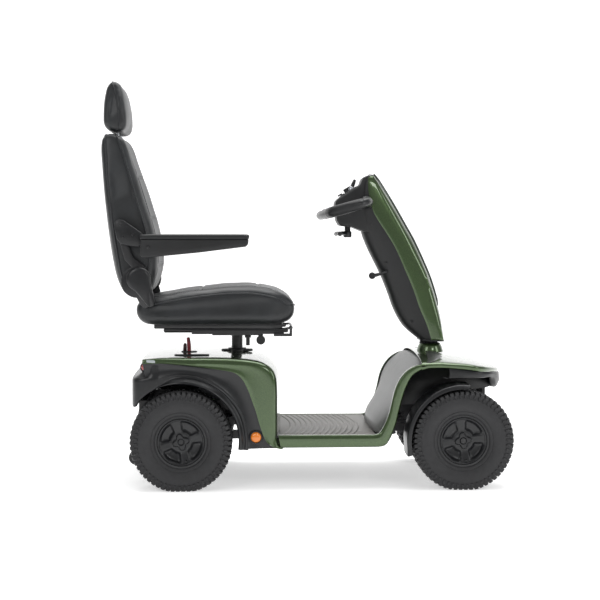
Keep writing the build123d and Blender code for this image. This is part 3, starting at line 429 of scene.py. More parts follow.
def joined(name, pieces):
    """Several pieces as one mesh object, each keeping its materials."""
    work = bmesh.new()
    materials = []
    for piece in pieces:
        numbers = []
        for material in piece.data.materials:
            if material not in materials:
                materials.append(material)
            numbers.append(materials.index(material))
        first = len(work.faces)
        work.from_mesh(piece.data)
        work.faces.ensure_lookup_table()
        for face in work.faces[first:]:
            face.material_index = numbers[min(face.material_index, len(numbers) - 1)]
        bpy.data.objects.remove(piece)
    mesh = bpy.data.meshes.new(name)
    work.to_mesh(mesh)
    work.free()
    for material in materials:
        mesh.materials.append(material)
    whole = bpy.data.objects.new(name, mesh)
    bpy.context.scene.collection.objects.link(whole)
    return whole


def mirrored(piece):
    """The piece's twin on the other side of the middle plane."""
    mesh = piece.data.copy()
    mesh.transform(Matrix.Scale(-1, 4, (0, 1, 0)))
    mesh.flip_normals()
    twin = bpy.data.objects.new(piece.name + "_twin", mesh)
    bpy.context.scene.collection.objects.link(twin)
    return twin


def strip_faces(rows, columns, ring=False):
    """Quads between rows of points, and round each row when it is a ring."""
    faces = []
    for i in range(rows - 1):
        for j in range(columns if ring else columns - 1):
            k = (j + 1) % columns
            faces.append((i * columns + j, i * columns + k, (i + 1) * columns + k, (i + 1) * columns + j))
    return faces


def loft(name, rings, material, caps=True, sharp=38.0):
    """A closed solid through rings of equally many points."""
    columns = len(rings[0])
    points = [p for ring in rings for p in ring]
    faces = strip_faces(len(rings), columns, True)
    if caps:
        faces.append(tuple(range(columns))[::-1])
        faces.append(tuple(range((len(rings) - 1) * columns, len(rings) * columns)))
    return to_piece(name, points, faces, material, sharp)


def panel(name, rows, material, wall, inside, bevel=1.2, sharp=38.0):
    """A moulded panel: a surface through rows of points, given a wall on the side of the inside point."""
    columns = len(rows[0])
    points = [p for row in rows for p in row]
    piece = to_piece(name, points, strip_faces(len(rows), columns), material, sharp, closed=False)
    work = bmesh.new()
    work.from_mesh(piece.data)
    bmesh.ops.recalc_face_normals(work, faces=work.faces)
    middle = place(*inside)
    facing = sum(f.normal.dot(f.calc_center_median() - middle) * f.calc_area() for f in work.faces)
    if facing < 0:
        bmesh.ops.reverse_faces(work, faces=work.faces)
    work.to_mesh(piece.data)
    work.free()
    return shaped(piece, ("SOLIDIFY", {"thickness": wall / 1000, "offset": -1.0}), bevelled(bevel), sharp=sharp)


def smooth_line(points, count):
    """A smooth curve through points of any dimension, sampled evenly along its length."""
    points = [tuple(float(v) for v in p) for p in points]
    if len(points) == 2:
        points = [points[0], tuple((a + b) / 2 for a, b in zip(*points)), points[1]]
    fine = []
    for i in range(len(points) - 1):
        p0 = points[max(i - 1, 0)]
        p1, p2 = points[i], points[i + 1]
        p3 = points[min(i + 2, len(points) - 1)]
        for n in range(16):
            t = n / 16
            fine.append(tuple(0.5 * (2 * b + (c - a) * t + (2 * a - 5 * b + 4 * c - d) * t * t
                                     + (3 * b - a - 3 * c + d) * t ** 3)
                              for a, b, c, d in zip(p0, p1, p2, p3)))
    fine.append(points[-1])
    lengths = [0.0]
    for a, b in zip(fine, fine[1:]):
        lengths.append(lengths[-1] + math.dist(a, b))
    out, k = [], 0
    for n in range(count):
        target = lengths[-1] * n / (count - 1)
        while k < len(lengths) - 2 and lengths[k + 1] < target:
            k += 1
        span = lengths[k + 1] - lengths[k]
        t = (target - lengths[k]) / span if span > 1e-9 else 0
        out.append(tuple(a + (b - a) * t for a, b in zip(fine[k], fine[k + 1])))
    return out


def level(table, at):
    """Straight-line lookup in a short table of (at, value) pairs."""
    for (a, u), (b, v) in zip(table, table[1:]):
        if at <= b:
            return u + (v - u) * max(0.0, at - a) / (b - a)
    return table[-1][1]


def soft_step(value):
    """Zero to one with eased ends."""
    value = min(max(value, 0.0), 1.0)
    return value * value * (3 - 2 * value)


def tube(name, points, radius, material, count=48, sides=16, end_round=True, smooth=True):
    """A round bar along a smooth path, with rounded ends. The radius is a number or one for each path point."""
    line = smooth_line(points, count) if smooth else [tuple(map(float, p)) for p in points]
    count = len(line)
    radii = radius if isinstance(radius, (list, tuple)) else [radius, radius]
    frames = []
    side = None
    for i, p in enumerate(line):
        a, b = line[max(i - 1, 0)], line[min(i + 1, count - 1)]
        along = (Vector(b) - Vector(a)).normalized()
        if side is None:
            side = along.cross(Vector((0, 0, 1)) if abs(along.z) < 0.9 else Vector((1, 0, 0))).normalized()
        side = (side - along * side.dot(along)).normalized()
        frames.append((Vector(p), along, side, along.cross(side)))
    rings = []

    def ring(spot, grow, shift):
        at, along, across, up = frames[spot]
        size = level([(n / (len(radii) - 1), r) for n, r in enumerate(radii)], spot / (count - 1)) * grow
        return [tuple(at + along * shift * size / max(grow,
                                                      1e-6) + across * size * math.cos(a) + up * size * math.sin(a))
                for a in (2 * math.pi * n / sides for n in range(sides))]

    if end_round:
        for step in (0.98, 0.9, 0.7, 0.4):
            rings.append(ring(0, math.sqrt(1 - step * step), -step * 0.6))
    rings += [ring(i, 1.0, 0.0) for i in range(count)]
    if end_round:
        for step in (0.4, 0.7, 0.9, 0.98):
            rings.append(ring(count - 1, math.sqrt(1 - step * step), step * 0.6))
    return loft(name, rings, material)


def revolved(name, profile, centre, material, count=72, start=0.0, end=360.0, sharp=38.0):
    """A solid of revolution about a Y axis: the profile is (y, radius) pairs round a closed outline."""
    x0, z0 = centre
    full = end - start >= 359.9
    steps = count if full else count + 1
    rings = []
    for n in range(steps):
        angle = math.radians(start + (end - start) * n / count)
        rings.append([(x0 + r * math.cos(angle), y, z0 + r * math.sin(angle)) for y, r in profile])
    columns = len(profile)
    if full:
        rings.append(rings[0])
    points = [p for ring in rings for p in ring]
    faces = strip_faces(len(rings), columns, True)
    if not full:
        faces.append(tuple(range(columns)))
        faces.append(tuple(range((len(rings) - 1) * columns, len(rings) * columns)))
    return to_piece(name, points, faces, material, sharp)


def plate(name, outline, y0, y1, material, bevel=2.0, segments=3):
    """A plate seen from the side: an outline of (x, z) points from one y to another, with rounded edges."""
    points = [(x, y, z) for y in (y0, y1) for x, z in outline]
    count = len(outline)
    faces = [(i, (i + 1) % count, count + (i + 1) % count, count + i) for i in range(count)]
    faces += [tuple(range(count))[::-1], tuple(range(count, 2 * count))]
    piece = to_piece(name, points, faces, material)
    return shaped(piece, bevelled(bevel, segments), sharp=50.0)


def flat_plate(name, outline, z0, z1, material, bevel=1.5, segments=2):
    """A plate seen from above: an outline of (x, y) points from one height to another."""
    points = [(x, y, z) for z in (z0, z1) for x, y in outline]
    count = len(outline)
    faces = [(i, (i + 1) % count, count + (i + 1) % count, count + i) for i in range(count)]
    faces += [tuple(range(count))[::-1], tuple(range(count, 2 * count))]
    piece = to_piece(name, points, faces, material)
    return shaped(piece, bevelled(bevel, segments), sharp=50.0)


# ------------------------------------------------------------------ repeats


def copies_tree():
    """Geometry Nodes that set one item at every point, turned by the point's own angles."""
    tree = bpy.data.node_groups.new("Copies at points", "GeometryNodeTree")
    for title, kind in (("Geometry", "Geometry"), ("Item", "Object"), ("Item size", "Float"), ("Finish", "Material")):
        tree.interface.new_socket(title, in_out="INPUT", socket_type="NodeSocket" + kind)
    tree.interface.new_socket("Geometry", in_out="OUTPUT", socket_type="NodeSocketGeometry")
    given = add(tree, "NodeGroupInput")
    item = add(tree, "GeometryNodeObjectInfo", None, {"Object": given.outputs["Item"]})
    angles = add(tree, "GeometryNodeInputNamedAttribute", {"data_type": "FLOAT_VECTOR"}, {"Name": "turn"})
    turn = add(tree, "FunctionNodeEulerToRotation", None, {"Euler": angles.outputs["Attribute"]})
    copies = add(tree, "GeometryNodeInstanceOnPoints", None,
                 {"Points": given.outputs["Geometry"], "Instance": item.outputs["Geometry"],
                  "Rotation": turn.outputs[0], "Scale": given.outputs["Item size"]})
    real = add(tree, "GeometryNodeRealizeInstances", None, {"Geometry": copies.outputs[0]})
    finish = add(tree, "GeometryNodeSetMaterial", None,
                 {"Geometry": real.outputs[0], "Material": given.outputs["Finish"]})
    add(tree, "NodeGroupOutput", None, {"Geometry": finish.outputs[0]})
    return tree


def copies(name, item, spots, material, size=1.0, sharp=38.0):
    """One item at each spot, as a plain mesh. A spot is a place in millimetres and three axes for the item."""
    tree = bpy.data.node_groups.get("Copies at points") or copies_tree()
    mesh = bpy.data.meshes.new(name)
    mesh.from_pydata([place(*spot) for spot, _ in spots], [], [])
    turn = mesh.attributes.new("turn", "FLOAT_VECTOR", "POINT")
    for i, (_, axes) in enumerate(spots):
        turn.data[i].vector = Matrix([a.normalized() for a in map(Vector, axes)]).transposed().to_euler()
    piece = bpy.data.objects.new(name, mesh)
    bpy.context.scene.collection.objects.link(piece)
    modifier = piece.modifiers.new("Copies", "NODES")
    modifier.node_group = tree
    names = {s.name: s.identifier for s in tree.interface.items_tree if s.in_out == "INPUT"}
    modifier[names["Item"]] = item
    modifier[names["Item size"]] = size
    modifier[names["Finish"]] = MATERIALS[material]
    shaped(piece, sharp=sharp)
    bpy.data.objects.remove(item)
    return piece


def spring_tree():
    """Geometry Nodes for a coil spring: a spiral swept by a round wire."""
    tree = bpy.data.node_groups.new("Coil spring", "GeometryNodeTree")
    for title, kind in (("Geometry", "Geometry"), ("Turns", "Float"), ("Radius", "Float"), ("Height", "Float"),
                        ("Wire", "Float"), ("Foot", "Vector"), ("Finish", "Material")):
        tree.interface.new_socket(title, in_out="INPUT", socket_type="NodeSocket" + kind)
    tree.interface.new_socket("Geometry", in_out="OUTPUT", socket_type="NodeSocketGeometry")
    given = add(tree, "NodeGroupInput")
    spiral = add(tree, "GeometryNodeCurveSpiral", None,
                 {"Resolution": 28, "Rotations": given.outputs["Turns"], "Start Radius": given.outputs["Radius"],
                  "End Radius": given.outputs["Radius"], "Height": given.outputs["Height"]})
    wire = add(tree, "GeometryNodeCurvePrimitiveCircle", None, {"Resolution": 12, "Radius": given.outputs["Wire"]})
    swept = add(tree, "GeometryNodeCurveToMesh", None,
                {"Curve": spiral.outputs[0], "Profile Curve": wire.outputs[0], "Fill Caps": True})
    moved = add(tree, "GeometryNodeTransform", None,
                {"Geometry": swept.outputs[0], "Translation": given.outputs["Foot"]})
    real = add(tree, "GeometryNodeRealizeInstances", None, {"Geometry": moved.outputs[0]})
    finish = add(tree, "GeometryNodeSetMaterial", None,
                 {"Geometry": real.outputs[0], "Material": given.outputs["Finish"]})
    add(tree, "NodeGroupOutput", None, {"Geometry": finish.outputs[0]})
    return tree


def coil_spring(name, foot, height, radius, wire, turns):
    """One coil spring standing on a foot point, all in metres."""
    tree = bpy.data.node_groups.get("Coil spring") or spring_tree()
    mesh = bpy.data.meshes.new(name)
    piece = bpy.data.objects.new(name, mesh)
    bpy.context.scene.collection.objects.link(piece)
    modifier = piece.modifiers.new("Spring", "NODES")
    modifier.node_group = tree
    names = {s.name: s.identifier for s in tree.interface.items_tree if s.in_out == "INPUT"}
    for title, value in (("Turns", turns), ("Radius", radius), ("Height", height), ("Wire", wire),
                         ("Foot", tuple(foot)), ("Finish", MATERIALS["powder"])):
        modifier[names[title]] = value
    return shaped(piece)


# ------------------------------------------------------------------ wheels


def tread_block():
    """One moulded tread block: a low pyramid-sided lug, its long side along Y and its height along X."""
    mesh = bpy.data.meshes.new("tread_block")
    points, faces = [], []
    for x, shrink in ((-0.006, 1.06), (0.0, 1.0), (0.0062, 0.86), (0.0072, 0.76)):
        for y, z in ((-1, -1), (1, -1), (1, 1), (-1, 1)):
            points.append((x, y * shrink * 0.0115, z * shrink * 0.0062))
    for i in range(3):
        for j in range(4):
            k = (j + 1) % 4
            faces.append((4 * i + j, 4 * i + k, 4 * i + 4 + k, 4 * i + 4 + j))
    faces += [(3, 2, 1, 0), (12, 13, 14, 15)]
    mesh.from_pydata(points, [], faces)
    item = bpy.data.objects.new("tread_block", mesh)
    bpy.context.scene.collection.objects.link(item)
    return item


def make_tyre(name, x, side, blocks):
    """A 5 inch wide tyre: bellied sidewall with a bead ring, a raised block ring, and four rows of lugs."""
    mid = side * WHEEL_Y
    section = [(-50, 86), (-54, 90), (-55.5, 96), (-54.5, 98), (-57, 101), (-61, 112), (-62, 122), (-61.5, 132),
               (-59.5, 141), (-59, 148), (-57, 154), (-50, 158.5), (-30, 160), (0, 160.5)]
    outline = section + [(-y, r) for y, r in section[-2::-1]] + [(44, 84), (0, 100), (-44, 84)]
    body = revolved(name + "_casing", [(mid + y, r) for y, r in outline], (x, AXLE_Z), "tyre", 96)
    spots = []
    for row, (y, radius, lean, twist) in enumerate(
            ((-48.5, 158.5, -0.28, 0.20), (-17, 159.6, -0.05, -0.34), (17, 159.6, 0.05, 0.34), (48.5, 158.5, 0.28,
                                                            -0.20))):
        for n in range(blocks):
            angle = 2 * math.pi * (n + 0.5 * (row % 2)) / blocks
            out = Vector((math.cos(angle), 0, math.sin(angle)))
            along = Vector((-math.sin(angle), 0, math.cos(angle)))
            across = (Vector((0, 1, 0)) * math.cos(twist) + along * math.sin(twist))
            out = (out * math.cos(lean) + Vector((0, 1, 0)) * math.sin(lean)).normalized()
            across = (across - out * across.dot(out)).normalized()
            spot = (x + radius * math.cos(angle), mid + y, AXLE_Z + radius * math.sin(angle))
            spots.append((spot, (out, across, out.cross(across))))
    lugs = copies(name + "_lugs", tread_block(), spots, "tyre")
    ribs = []
    for hand in (-1, 1):
        for n in range(blocks):
            angle = 2 * math.pi * (n + 0.25) / blocks
            out = (Vector((math.cos(angle), 0, math.sin(angle))) * 0.25 + Vector((0, hand, 0)) * 0.97).normalized()
            radial = Vector((math.cos(angle), 0, math.sin(angle)))
            radial = (radial - out * radial.dot(out)).normalized()
            spot = (x + 147 * math.cos(angle), mid + hand * 58.0, AXLE_Z + 147 * math.sin(angle))
            ribs.append((spot, (out, radial, out.cross(radial))))
    side_lugs = copies(name + "_side_lugs", tread_block(), ribs, "tyre", 0.62)
    return joined(name, [body, lugs, side_lugs])


def cap_height(radius, angle, first):
    """How far the hub cap's face stands out: four sculpted pockets round a raised four-lobed middle."""
    height = 40.0 + 6 * soft_step((radius - 30) / 50)
    groove = soft_step((radius - 75) / 1.2) * (1 - soft_step((radius - 77) / 1.5))
    height += 3.5 * soft_step((radius - 70) / 3) - 3.0 * groove
    spread = abs((math.degrees(angle) - first + 45) % 90 - 45)
    width = 31 + 4 * soft_step((radius - 40) / 25)
    across = 1 - soft_step((spread - width + 12) / 14)
    along = soft_step((radius - 30) / 14) * (1 - soft_step((radius - 62) / 8))
    height -= 10 * across * along
    lobes = 5 * math.cos(math.radians(4 * (math.degrees(angle) - first - 45)))
    height += 5 * (1 - soft_step((radius - 21 - lobes) / 3))
    height -= 4 * (1 - soft_step((radius - 9) / 2))
    return height


def make_hub(name, x, side, first):
    """The black wheel with its sculpted cap, rim flanges and the drum behind, on the wheel's own axle."""
    mid = side * WHEEL_Y
    radii = [0, 5, 8, 10, 12, 16, 19, 22, 25, 28, 31, 33, 35, 37, 39, 43, 48, 54, 60, 64, 66, 68, 70, 72, 74, 75, 76,
             77, 78, 79, 81, 85]
    count = 120
    rows = []
    for radius in radii:
        row = []
        for n in range(count):
            angle = 2 * math.pi * n / count
            y = mid + side * cap_height(radius, angle if side < 0 else math.pi - angle, first)
            row.append((x + radius * math.cos(angle), y, AXLE_Z + radius * math.sin(angle)))
        rows.append(row)
    for y, radius in ((47, 87.5), (43, 88.5), (36, 84), (20, 80), (-30, 80), (-44, 86), (-50, 88), (-53, 87), (-53, 84),
                      (-40, 76), (-10, 72), (-8, 40), (-30, 34), (-34, 30)):
        rows.append([(x + radius * math.cos(a), mid + side * y, AXLE_Z + radius * math.sin(a))
                     for a in (2 * math.pi * n / count for n in range(count))])
    back = [(x, mid - side * 34, AXLE_Z)] * count
    rows.append(back)
    points = [p for row in rows for p in row]
    cap = to_piece(name, points, strip_faces(len(rows), count, True), "satin", 32.0)
    angle = math.radians(first + 45 + 180)
    valve = tube(name + "_valve", [(x + 62 * math.cos(angle), mid + side * 42, AXLE_Z + 62 * math.sin(angle)),
                                   (x + 64 * math.cos(angle), mid + side * 54, AXLE_Z + 64 * math.sin(angle))],
                 [3.2, 2.6], "tyre", 6, 10)
    parts = [cap, valve]
    if name.startswith("hub_r"):
        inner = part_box("wheel_rl")[0][1] * 1000
        shaft = revolved(name + "_shaft", [(side * inner, 0), (side * inner, 12), (side * (inner + 40), 12),
                                           (side * (inner + 42), 15), (mid - side * 20, 15), (mid - side * 20, 0)],
                         (x, AXLE_Z), "zinc", 32)
        parts.append(shaft)
    return joined(name, parts)


# ------------------------------------------------------------------ rear body


POD_EDGE = [(-126, 436), (-64, 440), (10, 440), (86, 440), (164, 438), (225, 433), (266, 424), (296, 406), (311, 378),
            (315, 330), (315, 265), (315, 215), (315, 180), (320, 158), (334, 143)]
POD_SEAM = [(-126, 424), (-64, 425), (10, 418), (86, 408), (164, 395), (190, 381), (205, 363), (215, 343), (224, 322),
            (234, 293), (244, 265), (257, 220), (271, 180), (291, 153), (330, 142)]


def make_pod(name):
    """The painted pod under the seat: flat top, rounded shoulders, and a front that swells between its edges."""
    count = 64
    edges = smooth_line([a + b for a, b in zip(POD_EDGE, POD_SEAM)], count)
    rows = []
    for i, (ex, ez, sx, sz) in enumerate(edges):
        edge, seam = Vector((ex, ez)), Vector((sx, sz))
        depth = max((edge - seam).length, 1.0)
        out = (edge - seam) / depth
        radius = min(20.0, depth * 0.8)
        front = soft_step((i / (count - 1) - 0.45) / 0.2)
        swell = 4.0 + 12.0 * front
        crown = Vector((1.0, 0.0)) * front + Vector((0.0, 1.0)) * (1 - front)
        half = []
        for n in range(5):
            half.append((seam + out * (depth - radius) * n / 5, HALF_BODY - 1.2 * math.sin(math.pi * n / 5)))
        for n in range(7):
            a = math.radians(15 * n)
            half.append((seam + out * (depth - radius + radius * math.sin(a)),
                         HALF_BODY - radius + radius * math.cos(a)))
        for n in range(1, 13):
            y = (HALF_BODY - radius) * (1 - n / 12)
            half.append((edge + crown * swell * (1 - (y / (HALF_BODY - radius)) ** 2), y))
        row = [(p.x, y, p.y) for p, y in half] + [(p.x, -y, p.y) for p, y in half[-2::-1]]
        rows.append(row)
    return panel(name, rows, "paint", 3.0, (60, 0, 250), 1.4)


def make_side_panel(name):
    """The black side panel between the painted seam and the wheel arch, pulled in slightly."""
    seam = [(-126, 424), (-64, 425), (10, 418), (86, 408), (164, 395), (190, 381), (205, 363), (215, 343), (224, 322),
            (234, 293), (244, 265), (257, 220), (271, 180), (291, 153), (322, 142)]
    arch = [(217 * math.cos(math.radians(a)), AXLE_Z + 217 * math.sin(math.radians(a)))
            for a in (121, 106, 88, 69, 51, 44, 39, 34, 28, 22, 16, 9, 2, -4, -7)]
    pairs = smooth_line([a + b for a, b in zip(seam, arch)], 56)
    rows = []
    for sx, sz, ax, az in pairs:
        rows.append([(sx + (ax - sx) * t, -(HALF_BODY - 2.5 - 7 * math.sin(math.pi * t) ** 0.8), sz + (az - sz) * t)
                     for t in (0, 0.04, 0.1, 0.2, 0.35, 0.5, 0.65, 0.8, 0.9, 0.96, 1)])
    right = panel(name, rows, "satin", 2.6, (60, 0, 300), 0.8)
    return joined(name, [right, mirrored(right)])


def make_arch(name):
    """The wheel arch lip: a black band that flares outwards over the tyre, with two rounded ridges."""
    outline = [(276, 222), (282, 219), (286, 215), (287, 211), (285, 208), (287, 204), (293, 200), (298, 196),
               (299, 192), (297, 189), (288, 188), (262, 190), (262, 193), (284, 194), (280, 206), (276, 212)]
    rings = []
    start, end, count = -8, 124, 72
    for n in range(count + 1):
        angle = start + (end - start) * n / count
        fade = soft_step((end - angle) / 38)
        a = math.radians(angle)
        ring = []
        for y, r in outline:
            r = 192 + (r - 192) * (0.15 + 0.85 * fade)
            ring.append((r * math.cos(a), -(276 + (y - 276) * (0.35 + 0.65 * fade)), AXLE_Z + r * math.sin(a)))
        rings.append(ring)
    right = loft(name, rings, "satin", sharp=45.0)
    return joined(name, [right, mirrored(right)])


def make_rear_bumper(name):
    """The moulded tail: a deep bumper with a sloping shelf, cut away over the tyres."""
    plan = smooth_line([(-74, 283), (-100, 283.5), (-128, 282), (-148, 274), (-160, 252), (-165, 200), (-167, 100),
                        (-168, 0)], 40)
    plan = plan + [(x, -y) for x, y in plan[-2::-1]]
    rows = []
    for i, (x, y) in enumerate(plan):
        a, b = plan[max(i - 1, 0)], plan[min(i + 1, len(plan) - 1)]
        along = Vector((b[0] - a[0], b[1] - a[1])).normalized()
        out = Vector((-along.y, along.x))
        if out.dot(Vector((x, y))) < 0:
            out = -out
        bottom = 278.0
        if abs(y) > 185 and x > -158:
            bottom = max(278.0, AXLE_Z + math.sqrt(max(190 ** 2 - x * x, 0.0)))
        back = soft_step((-92 - x) / 46)
        row = []
        for inset, z in ((9, bottom + 1), (2, bottom), (0, bottom + 3), (0, bottom + 12), (0, (bottom + 366) / 2),
                         (0, 362),
                         (0.6, 368), (3, 373), (8, 376), (20, 383), (30, 390), (34, 396), (36, 410), (38, 432)):
            draw = inset * (0.12 + 0.88 * back) if z > 366 else inset
            row.append((x - out.x * draw, y - out.y * draw, z))
        rows.append(row)
    return panel(name, rows, "satin", 3.2, (0, 0, 340), 1.2, 40.0)


def lens(name, centre, axis, radius, material, bulge):
    """A domed round lens in a black bezel, facing along an axis."""
    axis = Vector(axis).normalized()
    across = axis.cross(Vector((0, 0, 1))).normalized()
    up = across.cross(axis)
    shapes = []
    for profile, finish in ((((0, bulge), (0.3, bulge * 0.96), (0.6, bulge * 0.75), (0.85, bulge * 0.35), (0.93, 0),
                              (0.93, -6), (0, -6)), material),
                            (((0.93, -6), (0.93, 1.5), (0.97, 3.4), (1.08, 3.8), (1.2, 2.4), (1.26, -1.0), (1.26, -6)),
                             "satin")):
        rows = []
        for r, h in profile:
            rows.append([tuple(Vector(centre) + axis * h + across * r * radius * math.cos(a)
                               + up * r * radius * math.sin(a))
                         for a in (2 * math.pi * n / 40 for n in range(40))])
        if finish == "satin":
            rows.append(rows[0])
        points = [p for row in rows for p in row]
        shapes.append(to_piece(name, points, strip_faces(len(rows), 40, True), finish, 45.0))
    return joined(name, shapes)


def screw_head():
    """A pan-head screw with a cross recess hinted by four notches, its axis along X."""
    mesh = bpy.data.meshes.new("screw_head")
    points, faces = [], []
    for x, r in ((-0.002, 0.0042), (0.0006, 0.0042), (0.0018, 0.0034), (0.0024, 0.0018), (0.0014, 0.0012)):
        for n in range(12):
            a = 2 * math.pi * n / 12
            pinch = 0.72 if n % 3 == 0 and r < 0.002 else 1.0
            points.append((x, r * pinch * math.cos(a), r * pinch * math.sin(a)))
    for i in range(4):
        for j in range(12):
            k = (j + 1) % 12
            faces.append((12 * i + j, 12 * i + k, 12 * i + 12 + k, 12 * i + 12 + j))
    faces += [tuple(range(12))[::-1], tuple(range(48, 60))]
    mesh.from_pydata(points, [], faces)
    item = bpy.data.objects.new("screw_head", mesh)
    bpy.context.scene.collection.objects.link(item)
    return item


def screws(name, spots, material="zinc", size=1.0):
    """Pan-head screws at places in millimetres, each facing along its own direction."""
    turned = []
    for spot, out in spots:
        out = Vector(out).normalized()
        across = out.cross(Vector((0.1, 0.2, 1.0))).normalized()
        turned.append((spot, (out, across, out.cross(across))))
    return copies(name, screw_head(), turned, material, size)


def oval(x, y, half_x, half_y, count=40, power=2.4):
    """A squared-off oval outline seen from above."""
    out = []
    for n in range(count):
        a = 2 * math.pi * n / count
        c, s = math.cos(a), math.sin(a)
        out.append((x + half_x * math.copysign(abs(c) ** (2 / power), c),
                    y + half_y * math.copysign(abs(s) ** (2 / power), s)))
    return out


def make_top_trims(name):
    """The black ovals on the pod's top round the freewheel levers and the lobed flange round the seat post."""
    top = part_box("rear_body_shell")[1][2] * 1000
    parts = [flat_plate(name, oval(18, -70, 27, 17), top - 3, top + 3.5, "satin", 1.5),
             flat_plate(name, oval(32, -190, 58, 15), top - 3, top + 2.5, "satin", 1.5)]
    lobes = []
    for n in range(72):
        a = 2 * math.pi * n / 72
        r = 44 + 10 * math.cos(4 * a)
        lobes.append((181 + r * math.cos(a), r * math.sin(a)))
    parts.append(flat_plate(name, lobes, top - 3, top + 5, "satin", 2.0))
    parts.append(flat_plate(name, oval(181, 0, 32, 32, power=2.0), top, top + 9, "powder", 2.0))
    return joined(name, parts)


def make_freewheel(name):
    """The freewheel lever: a rounded red grip on a flat stem, the stem in a darker red that is painted shade on the
    lever's far side.
    """
    low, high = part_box("freewheel_lever")
    mx, my = (low[0] + high[0]) * 500 - REAR_X, (low[1] + high[1]) * 500
    parts = [tube(name, [(mx, my, 444), (mx - 1, my, 470), (mx - 3, my, 490)], [6.5, 7.0, 6.0], "red", 20, 16)]
    # The stem behind the grip gets the darker red nylon as painted shade.
    parts.append(plate(name, [(mx - 22, 442), (mx - 20, 470), (mx - 15, 474), (mx - 9, 470), (mx - 8, 442)], my + 8,
                       my + 16,
                       "shaded_red", 3.0, 3))
    return joined(name, parts)


# ------------------------------------------------------------------ floor and front body


RIM_OUTER = [(318, 185), (480, 185), (600, 185), (644, 187), (660, 203), (678, 242), (690, 283), (699, 324), (707, 348),
             (718, 369), (733, 389), (751, 403), (770, 413), (800, 420)]
RIM_INNER = [(326, 143), (485, 143.5), (610, 144), (664, 147), (684, 167), (705, 216), (716, 262), (728, 307), (738,
                                                            338),
             (751, 366), (763, 382), (779, 393), (796, 401), (815, 405)]


def make_sill(name):
    """The painted sill along the floor, which sweeps up into the rim of the front wheel arch."""
    line = smooth_line([a + b for a, b in zip(RIM_OUTER, RIM_INNER)], 70)
    outer = []
    for ux, uz, lx, lz in line:
        def at(t, y):
            return (ux + (lx - ux) * t, -y, uz + (lz - uz) * t)
        outer.append([at(0.0, 262), at(-0.02, 276), at(0.03, 282), at(0.12, HALF_BODY - 0.6), at(0.3, HALF_BODY),
                      at(0.55, HALF_BODY), at(0.8, HALF_BODY - 0.6), at(0.93, 282), at(1.0, 277), at(1.0, 262)])
    right = panel(name, outer, "paint", 3.0, (500, 0, 200), 0.8, 50.0)
    return joined(name, [right, mirrored(right)])


def plan_half(x):
    """Half the width of the bonnet at a distance forward."""
    t = max(0.0, min(1.0, (x - (FRONT_X + 35)) / 128))
    return HALF_BODY * (1 - t ** 1.6) ** 0.625


BONNET_CROWN = [(790, 444), (830, 441), (895, 432), (988, 417), (1050, 400), (1075, 390), (1088, 381)]
BONNET_EDGE = [(790, 419), (852, 421), (937, 416), (999, 406), (1040, 396), (1070, 387), (1088, 380)]
BONNET_LIP = [(790, 398), (815, 405), (871, 405), (937, 399), (999, 390), (1034, 385), (1060, 378), (1088, 371)]


def make_bonnet(name):
    """The bonnet: crowned across, falling to the nose, with a turned-down lip that carries on the arch rim."""
    stations = [790 + (960 - 790) * n / 16 for n in range(17)]
    stations += [960 + 128 * math.sin(math.radians(90 * n / 30)) for n in range(1, 30)]
    rows = []
    for x in stations:
        half = max(plan_half(x), 2.0)
        crown, edge, lip = level(BONNET_CROWN, x), level(BONNET_EDGE, x), level(BONNET_LIP, x)
        arc = []
        for n in range(15):
            t = n / 14 * 0.985
            arc.append((half * t, crown - (crown - edge) * (0.78 * t ** 2.2 + 0.22 * t ** 10)))
        reach = min(4.0, half * 0.3)
        arc += [(half - reach * 0.12, edge - 2.5), (half, edge - 6), (half, (edge + lip) / 2), (half - 0.8, lip + 2),
                (half - reach * 0.7, lip), (half - reach * 2, lip)]
        rows.append([(x, -y, z) for y, z in arc[::-1]] + [(x, y, z) for y, z in arc[1:]])
    return panel(name, rows, "paint", 3.0, (930, 0, 380), 1.0, 45.0)


SHIELD_MIDDLE = [(633, 183), (640, 222), (688, 286), (706, 336), (722, 367), (744, 395), (774, 419), (806, 433),
                 (836, 440), (868, 438)]
SHIELD_SIDE = [(660, 183, 281), (674, 222, 281), (694, 280, 281), (708, 333, 281), (723, 366, 281), (742, 388, 281),
               (770, 408, 280), (800, 419, 278), (832, 426, 268), (873, 431, 164)]


def make_shield(name):
    """The grained leg shield: rises from the floor, leans back and runs in under the tiller's foot."""
    line = smooth_line([a + b for a, b in zip(SHIELD_MIDDLE, SHIELD_SIDE)], 46)
    rows = []
    for cx, cz, sx, sz, half in line:
        row = []
        for n in range(-20, 21):
            t = abs(n) / 20
            bend = t ** 3.2
            row.append((cx + (sx - cx) * bend, half * n / 20, cz + (sz - cz) * bend + 1.5))
        rows.append(row)
    return panel(name, rows, "shield", 3.0, (800, 0, 250), 1.0, 50.0)


def rounded_slab(name, x0, x1, half, z0, z1, material, corner=24.0, bevel=1.5):
    """A slab seen from above with rounded corners."""
    outline = []
    for cx, cy, start in ((x1 - corner, half - corner, 0), (x0 + corner, half - corner, 90),
                          (x0 + corner, -half + corner, 180), (x1 - corner, -half + corner, 270)):
        outline += [(cx + corner * math.cos(math.radians(start + 15 * n)),
                     cy + corner * math.sin(math.radians(start + 15 * n)))
                    for n in range(7)]
    return flat_plate(name, outline, z0, z1, material, bevel)


